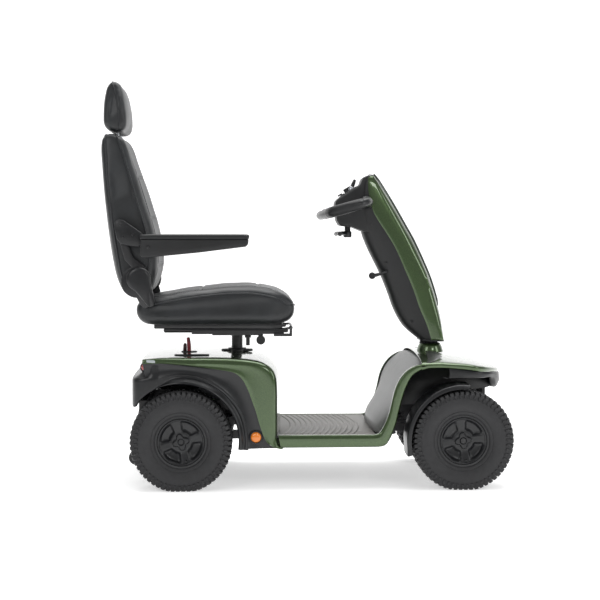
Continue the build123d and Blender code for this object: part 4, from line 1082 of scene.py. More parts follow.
def mat_rib(half):
    """One mat rib: a low rounded bar along Y that bows forward in the middle, with rounded ends."""
    mesh = bpy.data.meshes.new("mat_rib")
    points, faces = [], []
    count = 25
    for n in range(count):
        t = -1 + 2 * n / (count - 1)
        end = math.sqrt(max(0.0, 1 - (max(0.0, abs(t) - 0.96) / 0.04) ** 2))
        end = max(end, 0.12)
        x = 34.0 * (1 - t * t)
        for a, b in ((-5.6, 0), (-4.4, 1.9), (-2, 2.8), (2, 2.8), (4.4, 1.9), (5.6, 0)):
            points.append(((x + a * end) / 1000, half * t / 1000, b * end / 1000))
    for i in range(count - 1):
        for j in range(6):
            k = (j + 1) % 6
            faces.append((6 * i + j, 6 * i + k, 6 * i + 6 + k, 6 * i + 6 + j))
    faces += [tuple(range(6))[::-1], tuple(range(6 * count - 6, 6 * count))]
    mesh.from_pydata(points, [], faces)
    work = bmesh.new()
    work.from_mesh(mesh)
    bmesh.ops.recalc_face_normals(work, faces=work.faces)
    work.to_mesh(mesh)
    work.free()
    item = bpy.data.objects.new("mat_rib", mesh)
    bpy.context.scene.collection.objects.link(item)
    return item


def make_mat(name, pitch):
    """The rubber mat with its rows of bowed ribs."""
    low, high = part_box("footboard_mat")
    x0, x1 = low[0] * 1000 - REAR_X, high[0] * 1000 - REAR_X
    top = high[2] * 1000
    half = high[1] * 1000 - 2
    base = rounded_slab(name + "_sheet", x0 + 2, x1 + 6, half, top - 6, top - 2.2, "mat", 18, 1.0)
    count = int((x1 - x0 - 50) // pitch)
    spots = [((x0 + 10 + pitch * n, 0, top - 2.3), ((1, 0, 0), (0, 1, 0), (0, 0, 1))) for n in range(count)]
    ribs = copies(name + "_ribs", mat_rib(half - 14), spots, "mat")
    return joined(name, [base, ribs])


def make_front_bumper(name):
    """The dark front bumper below the bonnet: deep at the nose, running back as a shallow wing over each wheel."""
    plan = smooth_line([(884, 270), (930, 268), (975, 256), (1012, 234), (1040, 200), (1062, 158), (1077, 110),
                        (1086, 50),
                        (1089, 0)], 40)
    plan = plan + [(x, -y) for x, y in plan[-2::-1]]
    rows = []
    for x, y in plan:
        drop = soft_step((205 - abs(y)) / 90)
        low = 368 - 44 * drop
        top = level(BONNET_LIP, x) + 4
        lean = 10 * drop
        rows.append([(x - 20 - lean, y * 0.96, low + 2), (x - 8 - lean, y * 0.985, low), (x - 3 - lean * 0.8, y,
                                                            low + 2),
                     (x - 1 - lean * 0.6, y, low + 8), (x, y, (low * 0.55 + top * 0.45)), (x - 1.5, y, top - 8),
                     (x - 3, y * 0.995, top - 2), (x - 12, y * 0.97, top)])
    return panel(name, rows, "satin", 3.0, (900, 0, 360), 1.0, 50.0)


def make_liner(name):
    """Black inner wings under the bonnet, which close off the wheel wells from the middle."""
    outline = [(742, 262), (752, 350), (786, 398), (858, 402), (950, 396), (1040, 386), (1066, 372), (1066, 330),
               (1030, 318), (900, 300), (850, 262)]
    right = plate(name, outline, -88, -85, "grained", 0.8, 1)
    return joined(name, [right, mirrored(right)])


def make_floor_pan(name):
    """The black underside of the floor, between the painted sills."""
    x0, x1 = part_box("floor_shell")[0][0] * 1000 - REAR_X, 648
    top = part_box("footboard_mat")[0][2] * 1000
    deck = flat_plate(name + "_deck", [(x0 + 70, -277), (x1, -277), (x1, 277), (x0 + 70, 277)], top - 4, top,
                      "satin", 1)
    ribs = []
    for x in (x0 + 96, (x0 + x1) / 2 + 40, x1 - 24):
        ribs.append(flat_plate(name, [(x - 2, -276), (x + 2, -276), (x + 2, 276), (x - 2, 276)], 176, top - 3,
                               "satin", 0.5, 1))
    return joined(name, [deck] + ribs)


def make_mudguard(name, side):
    """The black mudguard over a front tyre, with rolled edges."""
    low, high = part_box("mudguard_l" if side > 0 else "mudguard_r")
    y0, y1 = sorted((abs(low[1]) * 1000, abs(high[1]) * 1000))
    rings = []
    for n in range(49):
        angle = math.radians(84 + (195 - 84) * n / 48)
        flare = 3.5 * soft_step((n - 44) / 4)
        ring = []
        for y, r in ((y0 + 1, 172), (y0 + 1, 182), (y0 + 4, 185.5), (y0 + 14, 186.5), ((y0 + y1) / 2, 187.2),
                     (y1 - 14, 186.5), (y1 - 4, 185.5), (y1 - 1, 182), (y1 - 1, 172), (y1 - 3, 172), (y1 - 3, 181),
                     (y1 - 14, 184), ((y0 + y1) / 2, 184.8), (y0 + 14, 184), (y0 + 3, 181), (y0 + 3, 172)):
            r += flare
            ring.append((FRONT_X + r * math.cos(angle), side * y, AXLE_Z + r * math.sin(angle)))
        rings.append(ring)
    return loft(name, rings, "satin", sharp=50.0)


# ------------------------------------------------------------------ tiller


TILLER_SEAM = [(850, 480), (833, 535), (809, 590), (788, 650), (762, 712), (725, 795), (693, 848), (656, 905),
               (640, 945), (632, 984), (629, 1027), (632, 1042)]
TILLER_CREASE = [(893, 479), (881, 535), (866, 592), (850, 645), (832, 700), (790, 784), (760, 844), (726, 904),
                 (704, 945), (684, 982), (664, 1020), (650, 1045)]
TILLER_NOSE = [(901, 478), (891, 540), (878, 597), (860, 660), (838, 720), (793, 818), (761, 875), (728, 933),
               (707, 968), (687, 1000), (668, 1030), (652, 1050)]
TILLER_BACK = [(808, 484), (757, 528), (724, 585), (702, 645), (677, 706), (644, 772), (628, 806), (612, 850),
               (604, 900), (602, 950), (606, 1006), (622, 1040)]
TILLER_HALF = [58, 60, 61, 62, 63, 64, 65, 66, 66, 65, 62, 54]


def make_tiller_front(name):
    """The painted front of the tiller: a broad face between two long creases."""
    line = smooth_line([a + b + c + (h,) for a, b, c, h in zip(TILLER_SEAM, TILLER_CREASE, TILLER_NOSE,
                                                            TILLER_HALF)], 60)
    rows = []
    for bx, bz, cx, cz, nx, nz, half in line:
        half_row = [(bx + 3, half - 4, bz), (bx, half, bz)]
        for n in range(1, 6):
            t = n / 6
            half_row.append((bx + (cx - bx) * t, half - 5 * t * t, bz + (cz - bz) * t))
        half_row += [(cx, half - 8, cz), (cx + (nx - cx) * 0.35, half - 15, cz + (nz - cz) * 0.35),
                     (nx - 3.5, half - 26, nz - 1.5), (nx - 1, half - 44, nz), (nx, 0, nz + 0.5)]
        rows.append([(x, -y, z) for x, y, z in half_row] + [(x, y, z) for x, y, z in half_row[-2::-1]])
    return panel(name, rows, "paint", 2.6, (720, 0, 800), 0.8, 32.0)


def make_tiller_rear(name):
    """The black rear of the tiller, rounded towards the rider and swelling up to the controls."""
    line = smooth_line([a + b + (h,) for a, b, h in zip(TILLER_SEAM, TILLER_BACK, TILLER_HALF)], 60)
    rows = []
    for bx, bz, rx, rz, half in line:
        half_row = [(bx + 2, half - 3, bz), (bx, half - 0.5, bz)]
        for n in range(1, 10):
            a = math.radians(90 * n / 9)
            half_row.append((bx + (rx - bx) * math.sin(a) ** 1.1, (half - 1) * (math.cos(a) ** 0.55 if n < 9 else 0.0),
                             bz + (rz - bz) * math.sin(a) ** 1.1))
        rows.append([(x, -y, z) for x, y, z in half_row] + [(x, y, z) for x, y, z in half_row[-2::-1]])
    return panel(name, rows, "grained", 2.6, (740, 0, 800), 0.8, 40.0)


def make_tiller_ends(name):
    """The lid over the tiller's top and the plate that closes its foot."""
    pieces = []
    for row, lift in ((11, 3.0), (0, 0.0)):
        bx, bz = TILLER_SEAM[row]
        nx, nz = TILLER_NOSE[row]
        rx, rz = TILLER_BACK[row]
        half = TILLER_HALF[row] - 1.5
        outline = []
        for n in range(40):
            a = 2 * math.pi * n / 40
            c, s = math.cos(a), math.sin(a)
            reach = (nx - bx) * 0.98 if c > 0 else (bx - rx) * 0.98
            rise = (nz - bz) if c > 0 else (rz - bz)
            x = bx + reach * math.copysign(abs(c) ** 0.7, c)
            z = bz + rise * abs(c) ** 0.7
            outline.append((x, half * math.copysign(abs(s) ** 0.5, s), z))
        centre = (bx, 0, bz + (lift if row else 1.0))
        rings = [[(p[0], p[1], p[2] - 4) for p in outline], outline]
        rings += [[tuple(o + (c - o) * t for o, c in zip(p, (centre[0], 0, p[2] + lift))) for p in outline]
                  for t in (0.08, 0.3, 0.7)]
        pieces.append(loft(name, rings, "satin"))
    return joined(name, pieces)


def make_console(name):
    """The control pod that stands out towards the rider, with its sloping dash and the screen recess."""
    side = [(640, 1046), (625, 1046), (612, 1036), (604, 1014), (530, 968), (519, 958), (518, 940), (524, 892), (534,
                                                            874),
            (575, 870), (604, 858), (640, 846), (690, 846), (650, 920), (638, 1000)]
    body = plate(name, side, -57, 57, "grained", 9.0, 4)
    slope = math.atan2(1014 - 966, 604 - 527)
    along = Vector((math.cos(slope), 0, math.sin(slope)))
    up = Vector((-math.sin(slope), 0, math.cos(slope)))
    middle = Vector((566, 0, 990.5))

    def slab(half_u, half_v, low, high, material, shift=(0, 0)):
        rings = []
        for grow, height in ((1.0, low), (1.0, high - 1.0), (0.985, high - 0.3), (0.95, high)):
            ring = []
            for n in range(36):
                a = 2 * math.pi * n / 36
                c, s = math.cos(a), math.sin(a)
                u = half_u * grow * math.copysign(abs(c) ** 0.55, c) + shift[0]
                v = half_v * grow * math.copysign(abs(s) ** 0.55, s) + shift[1]
                ring.append(tuple(middle + along * u + Vector((0, 1, 0)) * v + up * height))
            rings.append(ring)
        return loft(name, rings, material)

    parts = [body, slab(38, 50, -2, 2.2, "satin"), slab(12, 20, 1, 3.0, "screen", (22, 0))]
    for v in (-38, 38):
        parts.append(slab(5, 5, 1, 5.0, "satin", (-22, v)))
        parts.append(slab(5, 5, 1, 5.0, "satin", (-4, v)))
    return joined(name, parts)


def make_strip(name):
    """The dark central strip down the tiller's front, standing proud and ending in a step."""
    line = smooth_line([n + (w,) for n, w in zip(TILLER_NOSE[2:], (17, 19, 21, 24, 25, 26, 26, 25, 23, 19))], 46)
    rings = []
    for i, (x, z, half) in enumerate(line):
        a, b = line[max(i - 1, 0)], line[min(i + 1, len(line) - 1)]
        along = Vector((b[0] - a[0], b[1] - a[1])).normalized()
        out = Vector((along.y, -along.x))
        rise = 6.0 * soft_step((i + 1.0) / 3)
        ring = []
        for y, r in ((-half, -6), (-half, 0.3), (-half + 1.5, 0.72), (-half + 5, 0.94), (0, 1.0), (half - 5, 0.94),
                     (half - 1.5, 0.72), (half, 0.3), (half, -6)):
            reach = r if r < 0 else r * rise
            ring.append((x + out.x * reach, y, z + out.y * reach))
        rings.append(ring)
    return loft(name, rings, "strip", sharp=42.0)


def make_base(name):
    """The painted bell at the tiller's foot with the ribbed rubber boot above it."""
    bell = []
    for r, z in ((46, 436), (46, 440), (44.5, 446), (42, 454), (38, 463), (35, 467), (31, 468), (31, 464), (38, 446),
                 (42, 436)):
        bell.append([(STEER_X - 4 + r * math.cos(a), r * math.sin(a),
                      z) for a in (2 * math.pi * n / 48 for n in range(48))])
    bell.append(bell[0])
    parts = [to_piece(name, [p for row in bell for p in row], strip_faces(len(bell), 48, True), "paint", 50.0)]
    boot = []
    steps = [(33, 460), (34, 464)]
    for n in range(4):
        z = 466 + 5 * n
        r = 32 - 2.2 * n
        steps += [(r, z), (r + 1.8, z + 1.4), (r + 1.8, z + 2.6), (r - 1.2, z + 4.2)]
    steps += [(22, 487), (18, 486)]
    for r, z in steps:
        boot.append([(STEER_X - 5 - (z - 460) * 0.28 + r * math.cos(a), r * math.sin(a), z)
                     for a in (2 * math.pi * n / 48 for n in range(48))])
    parts.append(loft(name + "_boot", boot, "tyre", sharp=60.0))
    return joined(name, parts)


def make_handlebar(name):
    """The delta handlebar: a thick grained loop with soft grips, sloping down towards the rider."""
    root, end = (STEER_X - 232, TILT_Z + 478), (STEER_X - 384, TILT_Z + 434)
    slope = math.atan2(root[1] - end[1], root[0] - end[0])
    reach = (root[0] - end[0]) / math.cos(slope)

    def at(back, side):
        return (root[0] - back * math.cos(slope), side, root[1] - back * math.sin(slope))

    half = 223
    points = [at(-6, 56), at(-2, 110), at(2, 165), at(16, 205), at(48, half), at(90, half - 10), at(126, half - 30),
              at(reach - 22, half - 72), at(reach - 7, 86), at(reach, 0)]
    points = points + [(x, -y, z) for x, y, z in points[-2::-1]]
    bar = tube(name, points, 15.5, "satin", 150, 20)
    grips = []
    for hand in (1, -1):
        grip = [(x, y * hand, z) for x, y, z in (at(26, 213), at(58, half), at(90, half - 10), at(124, half - 29),
                                                 at(reach - 24, half - 68))]
        sleeve = tube(name + "_grip", grip, [17.0, 18.6, 18.8, 18.6, 17.2], "foam", 60, 20)
        grips.append(sleeve)
        for t in (0.97,):
            line = smooth_line(grip, 60)
            k = int(t * 59)
            a, b = Vector(line[max(k - 1, 0)]), Vector(line[min(k + 1, 59)])
            along = (b - a).normalized() * 1.5
            c = Vector(line[k])
            grips.append(tube(name + "_ring", [tuple(c - along), tuple(c + along)], 18.4, "powder", 4, 20))
    hubs = [revolved(name + "_clamp", [(s * 56, 0), (s * 56, 21), (s * 66, 22.5), (s * 74, 21), (s * 78, 17),
                                       (s * 78, 0)],
                     root, "satin", 32) for s in (-1, 1)]
    return joined(name, [bar] + grips + hubs)


def make_throttle(name):
    """The wig-wag paddles: two thumb levers on a hub under the handlebar."""
    parts = []
    for hand in (1, -1):
        path = [(556, hand * 12, 848), (540, hand * 36, 848), (531, hand * 70, 847), (531, hand * 106, 846)]
        parts.append(tube(name, path, [7.5, 6.5, 7.0, 8.0], "satin", 26, 12))
    hub = []
    for r, z in ((12, 834), (14, 837), (14, 853), (10, 856), (10, 876)):
        hub.append([(564 + r * math.cos(a), r * math.sin(a), z) for a in (2 * math.pi * n / 28 for n in range(28))])
    parts.append(loft(name + "_hub", hub, "satin"))
    return joined(name, parts)


def make_tiller_screws(name):
    """Screw pockets on both sides of the tiller."""
    spots = []
    for side in (-1, 1):
        for x, z in ((692, 746), (780, 543), (640, 880)):
            spots.append(((x, side * 60.5, z), (0, side, 0)))
    return screws(name, spots, "powder", 0.9)


def make_tilt_lever(name):
    """The tiller's tilt lever: a tapered bar with a round knob."""
    bar = tube(name, [(694, -57, 716), (672, -66, 709), (650, -68, 703)], [3.5, 5.0, 6.5], "satin", 16, 14)
    knob = revolved(name + "_knob", [(-76, 0), (-76, 8), (-73, 11.5), (-65, 11.5), (-62, 8), (-62, 0)], (644, 703),
                    "satin", 28)
    return joined(name, [bar, knob])


def make_key(name):
    """The ignition key: a stubby moulded grip on a short blade."""
    grip = tube(name, [(576, -34, 1004), (581, -34, 1017), (586, -34, 1030)], [6.5, 6.5, 5.0], "satin", 12, 16)
    collar = tube(name + "_collar", [(573, -34, 997), (576, -34, 1004)], 9.0, "zinc", 4, 20)
    return joined(name, [collar, grip])


# ------------------------------------------------------------------ seat


SEAT_SIDE = [(-122, 550), (0, 549), (150, 549), (304, 549), (350, 553), (372, 562), (383, 580), (385, 602), (376, 624),
             (352, 641), (312, 653), (250, 659), (200, 659), (140, 658), (80, 652), (10, 644), (-50, 633), (-112, 625),
             (-150, 617), (-163, 602), (-160, 576), (-145, 557)]
BACK_SIDE = [(-126, 644), (-112, 665), (-104, 700), (-99, 742), (-102, 800), (-115, 870), (-135, 940), (-159, 1020),
             (-182, 1090), (-197, 1146), (-207, 1172), (-224, 1184), (-243, 1185), (-257, 1176), (-260, 1146),
             (-256, 1100), (-249, 1020), (-241, 940), (-233, 860), (-221, 780), (-207, 710), (-193, 664), (-180, 640),
             (-152, 637)]
HEAD_SIDE = [(-256, 1216), (-254, 1250), (-250, 1300), (-245, 1336), (-237, 1351), (-226, 1354), (-216, 1344),
             (-206, 1308), (-196, 1250), (-193, 1215), (-198, 1197), (-210, 1191), (-230, 1193), (-248, 1200)]


def drawn_in(outline, inset):
    """A closed outline moved inwards by a distance."""
    centre = Vector((sum(p[0] for p in outline) / len(outline), sum(p[1] for p in outline) / len(outline)))
    out = []
    for i, p in enumerate(outline):
        a, b = Vector(outline[i - 1]), Vector(outline[(i + 1) % len(outline)])
        along = (b - a).normalized()
        normal = Vector((-along.y, along.x))
        if normal.dot(centre - Vector(p)) < 0:
            normal = -normal
        out.append(tuple(Vector(p) + normal * inset))
    return out


def cushion_block(name, outline, half, corner, waist, grow=0.0):
    """The foam under the cover: a side outline carried across, round at the ends, its width set by waist(x, z)."""
    closed = smooth_line(outline + [outline[0]], 97)[:-1]
    rings = []
    stations = [-1, -0.985, -0.95, -0.9, -0.82, -0.7, -0.5, -0.25, 0, 0.25, 0.5, 0.7, 0.82, 0.9, 0.95, 0.985, 1]
    for t in stations:
        y = half * t
        past = max(0.0, abs(y) - (half - corner)) / corner
        inset = corner * 0.8 * (1 - math.sqrt(max(0.0, 1 - past * past))) - grow
        rings.append([(x, y * waist(x, z), z) for x, z in drawn_in(closed, inset)])
    return loft(name, rings, "leather")


def eased(mesh, steps, rounds):
    """Evens the cover's movement out between neighbouring points, so that it swells without wrinkles."""
    pairs = [tuple(edge.vertices) for edge in mesh.edges]
    for _ in range(rounds):
        sums, counts = [step.copy() for step in steps], [1] * len(steps)
        for a, b in pairs:
            sums[a] += steps[b]
            sums[b] += steps[a]
            counts[a] += 1
            counts[b] += 1
        steps = [total / count for total, count in zip(sums, counts)]
    return steps


def inflate(piece, voxel_mm, cap_mm, frames=20):
    """Lets the cover swell over its foam as cloth under pressure, with its movement capped, then smooths it."""
    remeshed = ("REMESH", {"mode": "VOXEL", "voxel_size": voxel_mm / 1000, "adaptivity": 0.0})
    shaped(piece, remeshed)
    before = [v.co.copy() for v in piece.data.vertices]
    cloth = piece.modifiers.new("Cover", "CLOTH")
    settings = cloth.settings
    settings.quality = 4
    settings.mass = 0.3
    settings.tension_stiffness = 20
    settings.compression_stiffness = 12
    settings.shear_stiffness = 8
    settings.bending_stiffness = 0.6
    settings.use_pressure = True
    settings.uniform_pressure_force = 4.0
    settings.effector_weights.gravity = 0.0
    cloth.collision_settings.use_collision = False
    scene = bpy.context.scene
    for number in range(1, frames + 1):
        scene.frame_set(number)
    graph = bpy.context.evaluated_depsgraph_get()
    after = piece.evaluated_get(graph).to_mesh()
    moved = [v.co.copy() for v in after.vertices]
    piece.evaluated_get(graph).to_mesh_clear()
    piece.modifiers.clear()
    scene.frame_set(1)
    steps = []
    for old, new in zip(before, moved):
        step = new - old
        steps.append(step.normalized() * cap_mm / 1000 if step.length > cap_mm / 1000 else step)
    steps = eased(piece.data, steps, 45)
    for vertex, old, step in zip(piece.data.vertices, before, steps):
        vertex.co = old + step
    return shaped(piece, ("SMOOTH", {"factor": 0.5, "iterations": 3}),
                  ("SUBSURF", {"levels": 1, "render_levels": 1}), sharp=180.0)


def press_channel(piece, closeness, width_mm, depth_mm):
    """Presses a sewn channel into a cushion where closeness(x, y, z) in millimetres is under its width."""
    normals = [v.normal.copy() for v in piece.data.vertices]
    for vertex, normal in zip(piece.data.vertices, normals):
        x, y, z = vertex.co.x * 1000 - REAR_X, vertex.co.y * 1000, vertex.co.z * 1000
        gap = closeness(x, y, z, normal)
        if gap < width_mm:
            vertex.co -= normal * (depth_mm / 1000) * (1 - soft_step(gap / width_mm))


def on_cover(piece, points, count, lift_mm):
    """Points along a path laid on a cushion's cover, each with the cover's normal there."""
    out = []
    for p in smooth_line(points, count):
        _, spot, normal, _ = piece.closest_point_on_mesh(place(*p))
        out.append((spot + normal * lift_mm / 1000, normal.copy()))
    return out


def piping(name, piece, points, count=110, radius=3.0):
    """A covered cord sewn along a cushion's edge."""
    line = on_cover(piece, points, count, 0.6)
    path = [(p.x * 1000 - REAR_X, p.y * 1000, p.z * 1000) for p, _ in line]
    for _ in range(3):
        path = [path[0]] + [tuple((a + 2 * b + c) / 4 for a, b, c in zip(*trio))
                            for trio in zip(path, path[1:], path[2:])] + [path[-1]]
    return tube(name, path, radius, "piping", len(path), 10, smooth=False)


def stitch_item():
    """One stitch: a short thread bead along X."""
    mesh = bpy.data.meshes.new("stitch")
    points, faces = [], []
    for x, r in ((-0.0019, 0.15), (-0.0012, 0.8), (0.0012, 0.8), (0.0019, 0.15)):
        for n in range(6):
            a = math.pi * n / 3
            points.append((x, 0.00055 * r * math.cos(a), 0.00055 * r * math.sin(a)))
    for i in range(3):
        for j in range(6):
            k = (j + 1) % 6
            faces.append((6 * i + j, 6 * i + 6 + j, 6 * i + 6 + k, 6 * i + k))
    faces += [tuple(range(6)), tuple(range(18, 24))[::-1]]
    mesh.from_pydata(points, [], faces)
    item = bpy.data.objects.new("stitch", mesh)
    bpy.context.scene.collection.objects.link(item)
    return item


def stitches(name, piece, paths, pitch_mm=6.0):
    """Rows of stitches laid on a cushion's cover."""
    spots = []
    for points in paths:
        length = sum(math.dist(a, b) for a, b in zip(points, points[1:]))
        line = on_cover(piece, points, int(length / pitch_mm) + 2, 0.3)
        for (a, normal), (b, _) in zip(line, line[1:]):
            along = (b - a).normalized()
            side = normal.cross(along)
            if side.length < 0.2:
                continue
            spots.append(((a.x * 1000 - REAR_X, a.y * 1000, a.z * 1000), (along, side, along.cross(side))))
    return copies(name, stitch_item(), spots, "thread")


def make_seat_cushion():
    """The seat cushion: dished, crowned at the thighs, with a rolled front and piped edges."""
    def waist(x, z):
        front = soft_step((x - 250) / 130)
        rear = soft_step((-70 - x) / 90)
        return 1 - 0.02 * math.sin(math.pi * min(max((x + 150) / 520, 0), 1)) - 0.1 * front ** 2 - 0.05 * rear ** 2

    seat = cushion_block("seat_cover", SEAT_SIDE, 211, 30, waist)
    for vertex in seat.data.vertices:
        z, y, x = vertex.co.z * 1000, vertex.co.y * 1000, vertex.co.x * 1000 - REAR_X
        top = soft_step((z - 600) / 40) * soft_step((330 - x) / 120)
        vertex.co.z += top * (0.006 * math.exp(-((abs(y) - 150) / 45) ** 2) - 0.010 * math.exp(-(y / 90) ** 2))
    inflate(seat, 8.0, 12.0)
    side = [(-134, 608), (-60, 622), (30, 638), (110, 648), (190, 652), (260, 646), (320, 632), (346, 618)]
    front = [(352, 190, 612), (366, 150, 606), (374, 60, 604), (376, 0, 603), (374, -60, 604), (366, -150, 606),
             (352, -190, 612)]
    edge = [(x, 204, z) for x, z in side] + front + [(x, -204, z) for x, z in side[::-1]]
    cross = [(250, -150, 668), (254, -80, 662), (255, 0, 660), (254, 80, 662), (250, 150, 668)]

    def near_inner(x, y, z, normal):
        gap = 99.0
        if normal.z > 0.3 and -110 < x < 300:
            gap = min(gap, abs(abs(y) - 158))
            if abs(y) < 158:
                gap = min(gap, abs(x - 252 - 3 * (1 - (y / 158) ** 2)), abs(x - 60))
        return gap

    press_channel(seat, near_inner, 8.0, 4.0)
    cord = piping("seat_cord", seat, edge, 220, 3.2)
    rows = [[(x, s * 150, z + 12) for x, z in side[1:-1]] for s in (-1, 1)]
    rows += [[(x, s * 166, z + 12) for x, z in side[1:-1]] for s in (-1, 1)] + [cross]
    sewn = stitches("seat_stitches", seat, rows + [[(x, s * 200, z + 9) for x, z in side] for s in (-1, 1)])
    return seat, joined("seat_trim", [cord, sewn])


def make_back_cushion():
    """The backrest cushion: tapered to the top, full at the lumbar, with sewn side bolsters and piping."""
    def waist(x, z):
        return 1 - 0.22 * soft_step((z - 930) / 260) ** 1.2 - 0.03 * soft_step((720 - z) / 80)

    back = cushion_block("back_cover", BACK_SIDE, 211, 26, waist, 5.0)
    for vertex in back.data.vertices:
        z, y, x = vertex.co.z * 1000, vertex.co.y * 1000, vertex.co.x * 1000 - REAR_X
        face = soft_step((x - (-165 - (z - 700) * 0.12)) / 30)
        vertex.co.x += face * (0.007 * math.exp(-((abs(y) - 160) / 40) ** 2) - 0.014 * math.exp(-(y / 95) ** 2))
        vertex.co.x += face * 0.008 * math.exp(-((z - 790) / 70) ** 2) * math.exp(-(y / 110) ** 2)
    inflate(back, 8.0, 12.0)
    seam = [(-122, 665), (-110, 720), (-108, 790), (-120, 866), (-140, 940), (-166, 1030), (-192, 1110), (-208, 1156)]

    def width(z):
        return 206 * waist(0, z)

    edge = [(x, width(z), z) for x, z in seam] + [(-224, 120, 1190), (-226, 0, 1192), (-224, -120, 1190)]
    edge += [(x, -width(z), z) for x, z in seam[::-1]]
    tail = [(-192, 668), (-208, 740), (-224, 840), (-238, 950), (-250, 1060), (-254, 1130)]
    rear = [(x, width(z), z) for x, z in tail] + [(-254, 120, 1182), (-255, 0, 1184), (-254, -120, 1182)]
    rear += [(x, -width(z), z) for x, z in tail[::-1]]

    def near_seam(x, y, z, normal):
        gap = 99.0
        if normal.x > 0.3:
            gap = min(gap, abs(abs(y) - 150 * waist(0, z)))
            if abs(y) < 150:
                gap = min(gap, abs(z - 740), abs(z - 900), abs(z - 1040))
        return gap

    press_channel(back, near_seam, 8.0, 4.5)
    cords = [piping("back_cord", back, edge, 240, 3.2), piping("back_cord", back, rear, 240, 3.0)]
    rows = []
    for s in (-1, 1):
        for shift in (-8, 8):
            rows.append([(x + 20, s * (150 * waist(0, z) + shift), z) for x, z in seam])
        rows.append([(x + 3, s * (width(z) - 8), z) for x, z in seam])
    for z in (748, 908, 1048):
        rows.append([(-70 - (z - 700) * 0.2, y, z) for y in (-130, -60, 0, 60, 130)])
    sewn = stitches("back_stitches", back, rows)
    return back, joined("back_trim", cords + [sewn])


def make_headrest():
    """The headrest: a small rounded pillow, thinner at the top."""
    def waist(x, z):
        return 1 - 0.16 * soft_step((z - 1250) / 110) ** 1.5 - 0.05 * soft_step((1225 - z) / 30)

    head = cushion_block("headrest_cover", HEAD_SIDE, 136, 18, waist, 6.0)
    inflate(head, 6.0, 9.0)
    line = [(-216, 1192), (-204, 1206), (-206, 1250), (-214, 1300), (-224, 1338), (-230, 1352)]

    def half(z):
        return 131 * waist(0, z)

    edge = [(x - 6, half(z), z) for x, z in line] + [(-232, 60, 1364), (-232, -60, 1364)]
    edge += [(x - 6, -half(z), z) for x, z in line[::-1]]
    cord = piping("headrest_cord", head, edge, 150, 2.6)
    sewn = stitches("headrest_stitches", head, [[(x + 4, s * (half(z) - 7), z) for x, z in line] for s in (-1, 1)])
    return head, joined("headrest_trim", [cord, sewn])


def make_armrest(name, side):
    """An armrest: a soft self-skinned pad on a tapering hard body, with its pivot screw."""
    body = plate(name + "_body", [(-129, 829), (-129, 772), (-116, 768), (60, 785), (212, 804), (220, 811), (221, 829)],
                 side * 255, side * 297, "grained", 5.0, 3)
    rings = []
    for x, grow, lift in ((-131, 0.80, 1), (-129, 0.93, 0.4), (-122, 1, 0), (0, 1, 0), (120, 1, 0), (196, 1, 0),
                          (212, 0.98, 0.2), (219, 0.90, 0.8), (222.5, 0.74, 2), (223.5, 0.45, 4)):
        ring = []
        for n in range(28):
            a = 2 * math.pi * n / 28
            c, s = math.cos(a), math.sin(a)
            ring.append((x, side * 276 + 26.5 * grow * math.copysign(abs(c) ** 0.5, c),
                         836 + 9.4 * (grow if s < 0 else grow * 0.95) * math.copysign(abs(s) ** 0.6, s)))
        rings.append(ring)
    pad = loft(name, rings, "foam", sharp=60.0)
    pad = shaped(pad, ("SUBSURF", {"levels": 1, "render_levels": 1}), sharp=60.0)
    screw = screws(name + "_screws", [((-104, side * 297.4, 803), (0, side, 0)), ((-104, side * 254.6, 803), (0,
                                                            -side, 0))],
                   "powder", 1.4)
    return pad, joined(name + "_shell", [body, screw])


def make_recline_lever(name):
    """The recline lever: a domed round boss that tapers down to a thumb-sized tip."""
    cx, cz, radius = -140, 697, 40
    rim = []
    for n in range(40):
        a = math.radians(-6 + 232 * n / 39)
        rim.append((cx + radius * math.cos(a), cz + radius * math.sin(a)))
    rim += [(-152, 657), (-139, 643), (-124, 625), (-112, 610), (-104, 605), (-94, 607), (-87, 612), (-91, 640),
            (-97, 670)]
    rings = []
    for y, t in ((-228, 0.10), (-228, 0.0), (-238, 0.0), (-242, 0.05), (-245, 0.16), (-246, 0.34)):
        ring = []
        for x, z in rim:
            hub = max(0.0, min(1.0, (690 - z) / 80))
            mx, mz = cx + (-103 - cx) * hub, cz + (612 - cz) * hub
            ring.append((x + (mx - x) * t, y, z + (mz - z) * t))
        rings.append(ring)
    lever = loft(name, rings, "satin", sharp=30.0)
    return lever


def make_seat_brackets(name):
    """The backrest's side brackets with their screws."""
    outline = [(-216, 885), (-206, 893), (-190, 891), (-150, 864), (-127, 847), (-122, 832), (-124, 815), (-136, 803),
               (-164, 806), (-198, 814), (-210, 830), (-217, 860)]
    parts = []
    for side in (-1, 1):
        parts.append(plate(name, outline, side * 224, side * 242, "satin", 3.0, 3))
        parts.append(plate(name, [(-206, 880), (-168, 860), (-150, 828), (-196, 824), (-208, 850)],
                           side * 196, side * 228, "powder", 2.0, 2))
        spots = [((x, side * 242.2, z), (0, side, 0)) for x, z in ((-199, 877), (-191, 835), (-158, 843))]
        parts.append(screws(name + "_screws", spots, "powder", 1.1))
    return joined(name, parts)


def make_recliner(name):
    """The round hinge housings and the hinge side plates that join the pan to the back."""
    parts = []
    for side in (-1, 1):
        outer = side * 226
        parts.append(revolved(name, [(outer - side * 7, 0), (outer - side * 7, 50), (outer - side * 1, 52),
                                     (outer, 48), (outer, 0)], (RECLINE[0], RECLINE[1]), "satin", 48))
        parts.append(plate(name, [(-162, 735), (-186, 760), (-205, 830), (-214, 880), (-196, 884), (-186, 840),
                                  (-160, 770), (-118, 735), (-112, 690), (-130, 668), (-165, 668), (-178, 700)],
                           side * 219, side * 225, "powder", 1.5, 2))
    return joined(name, parts)


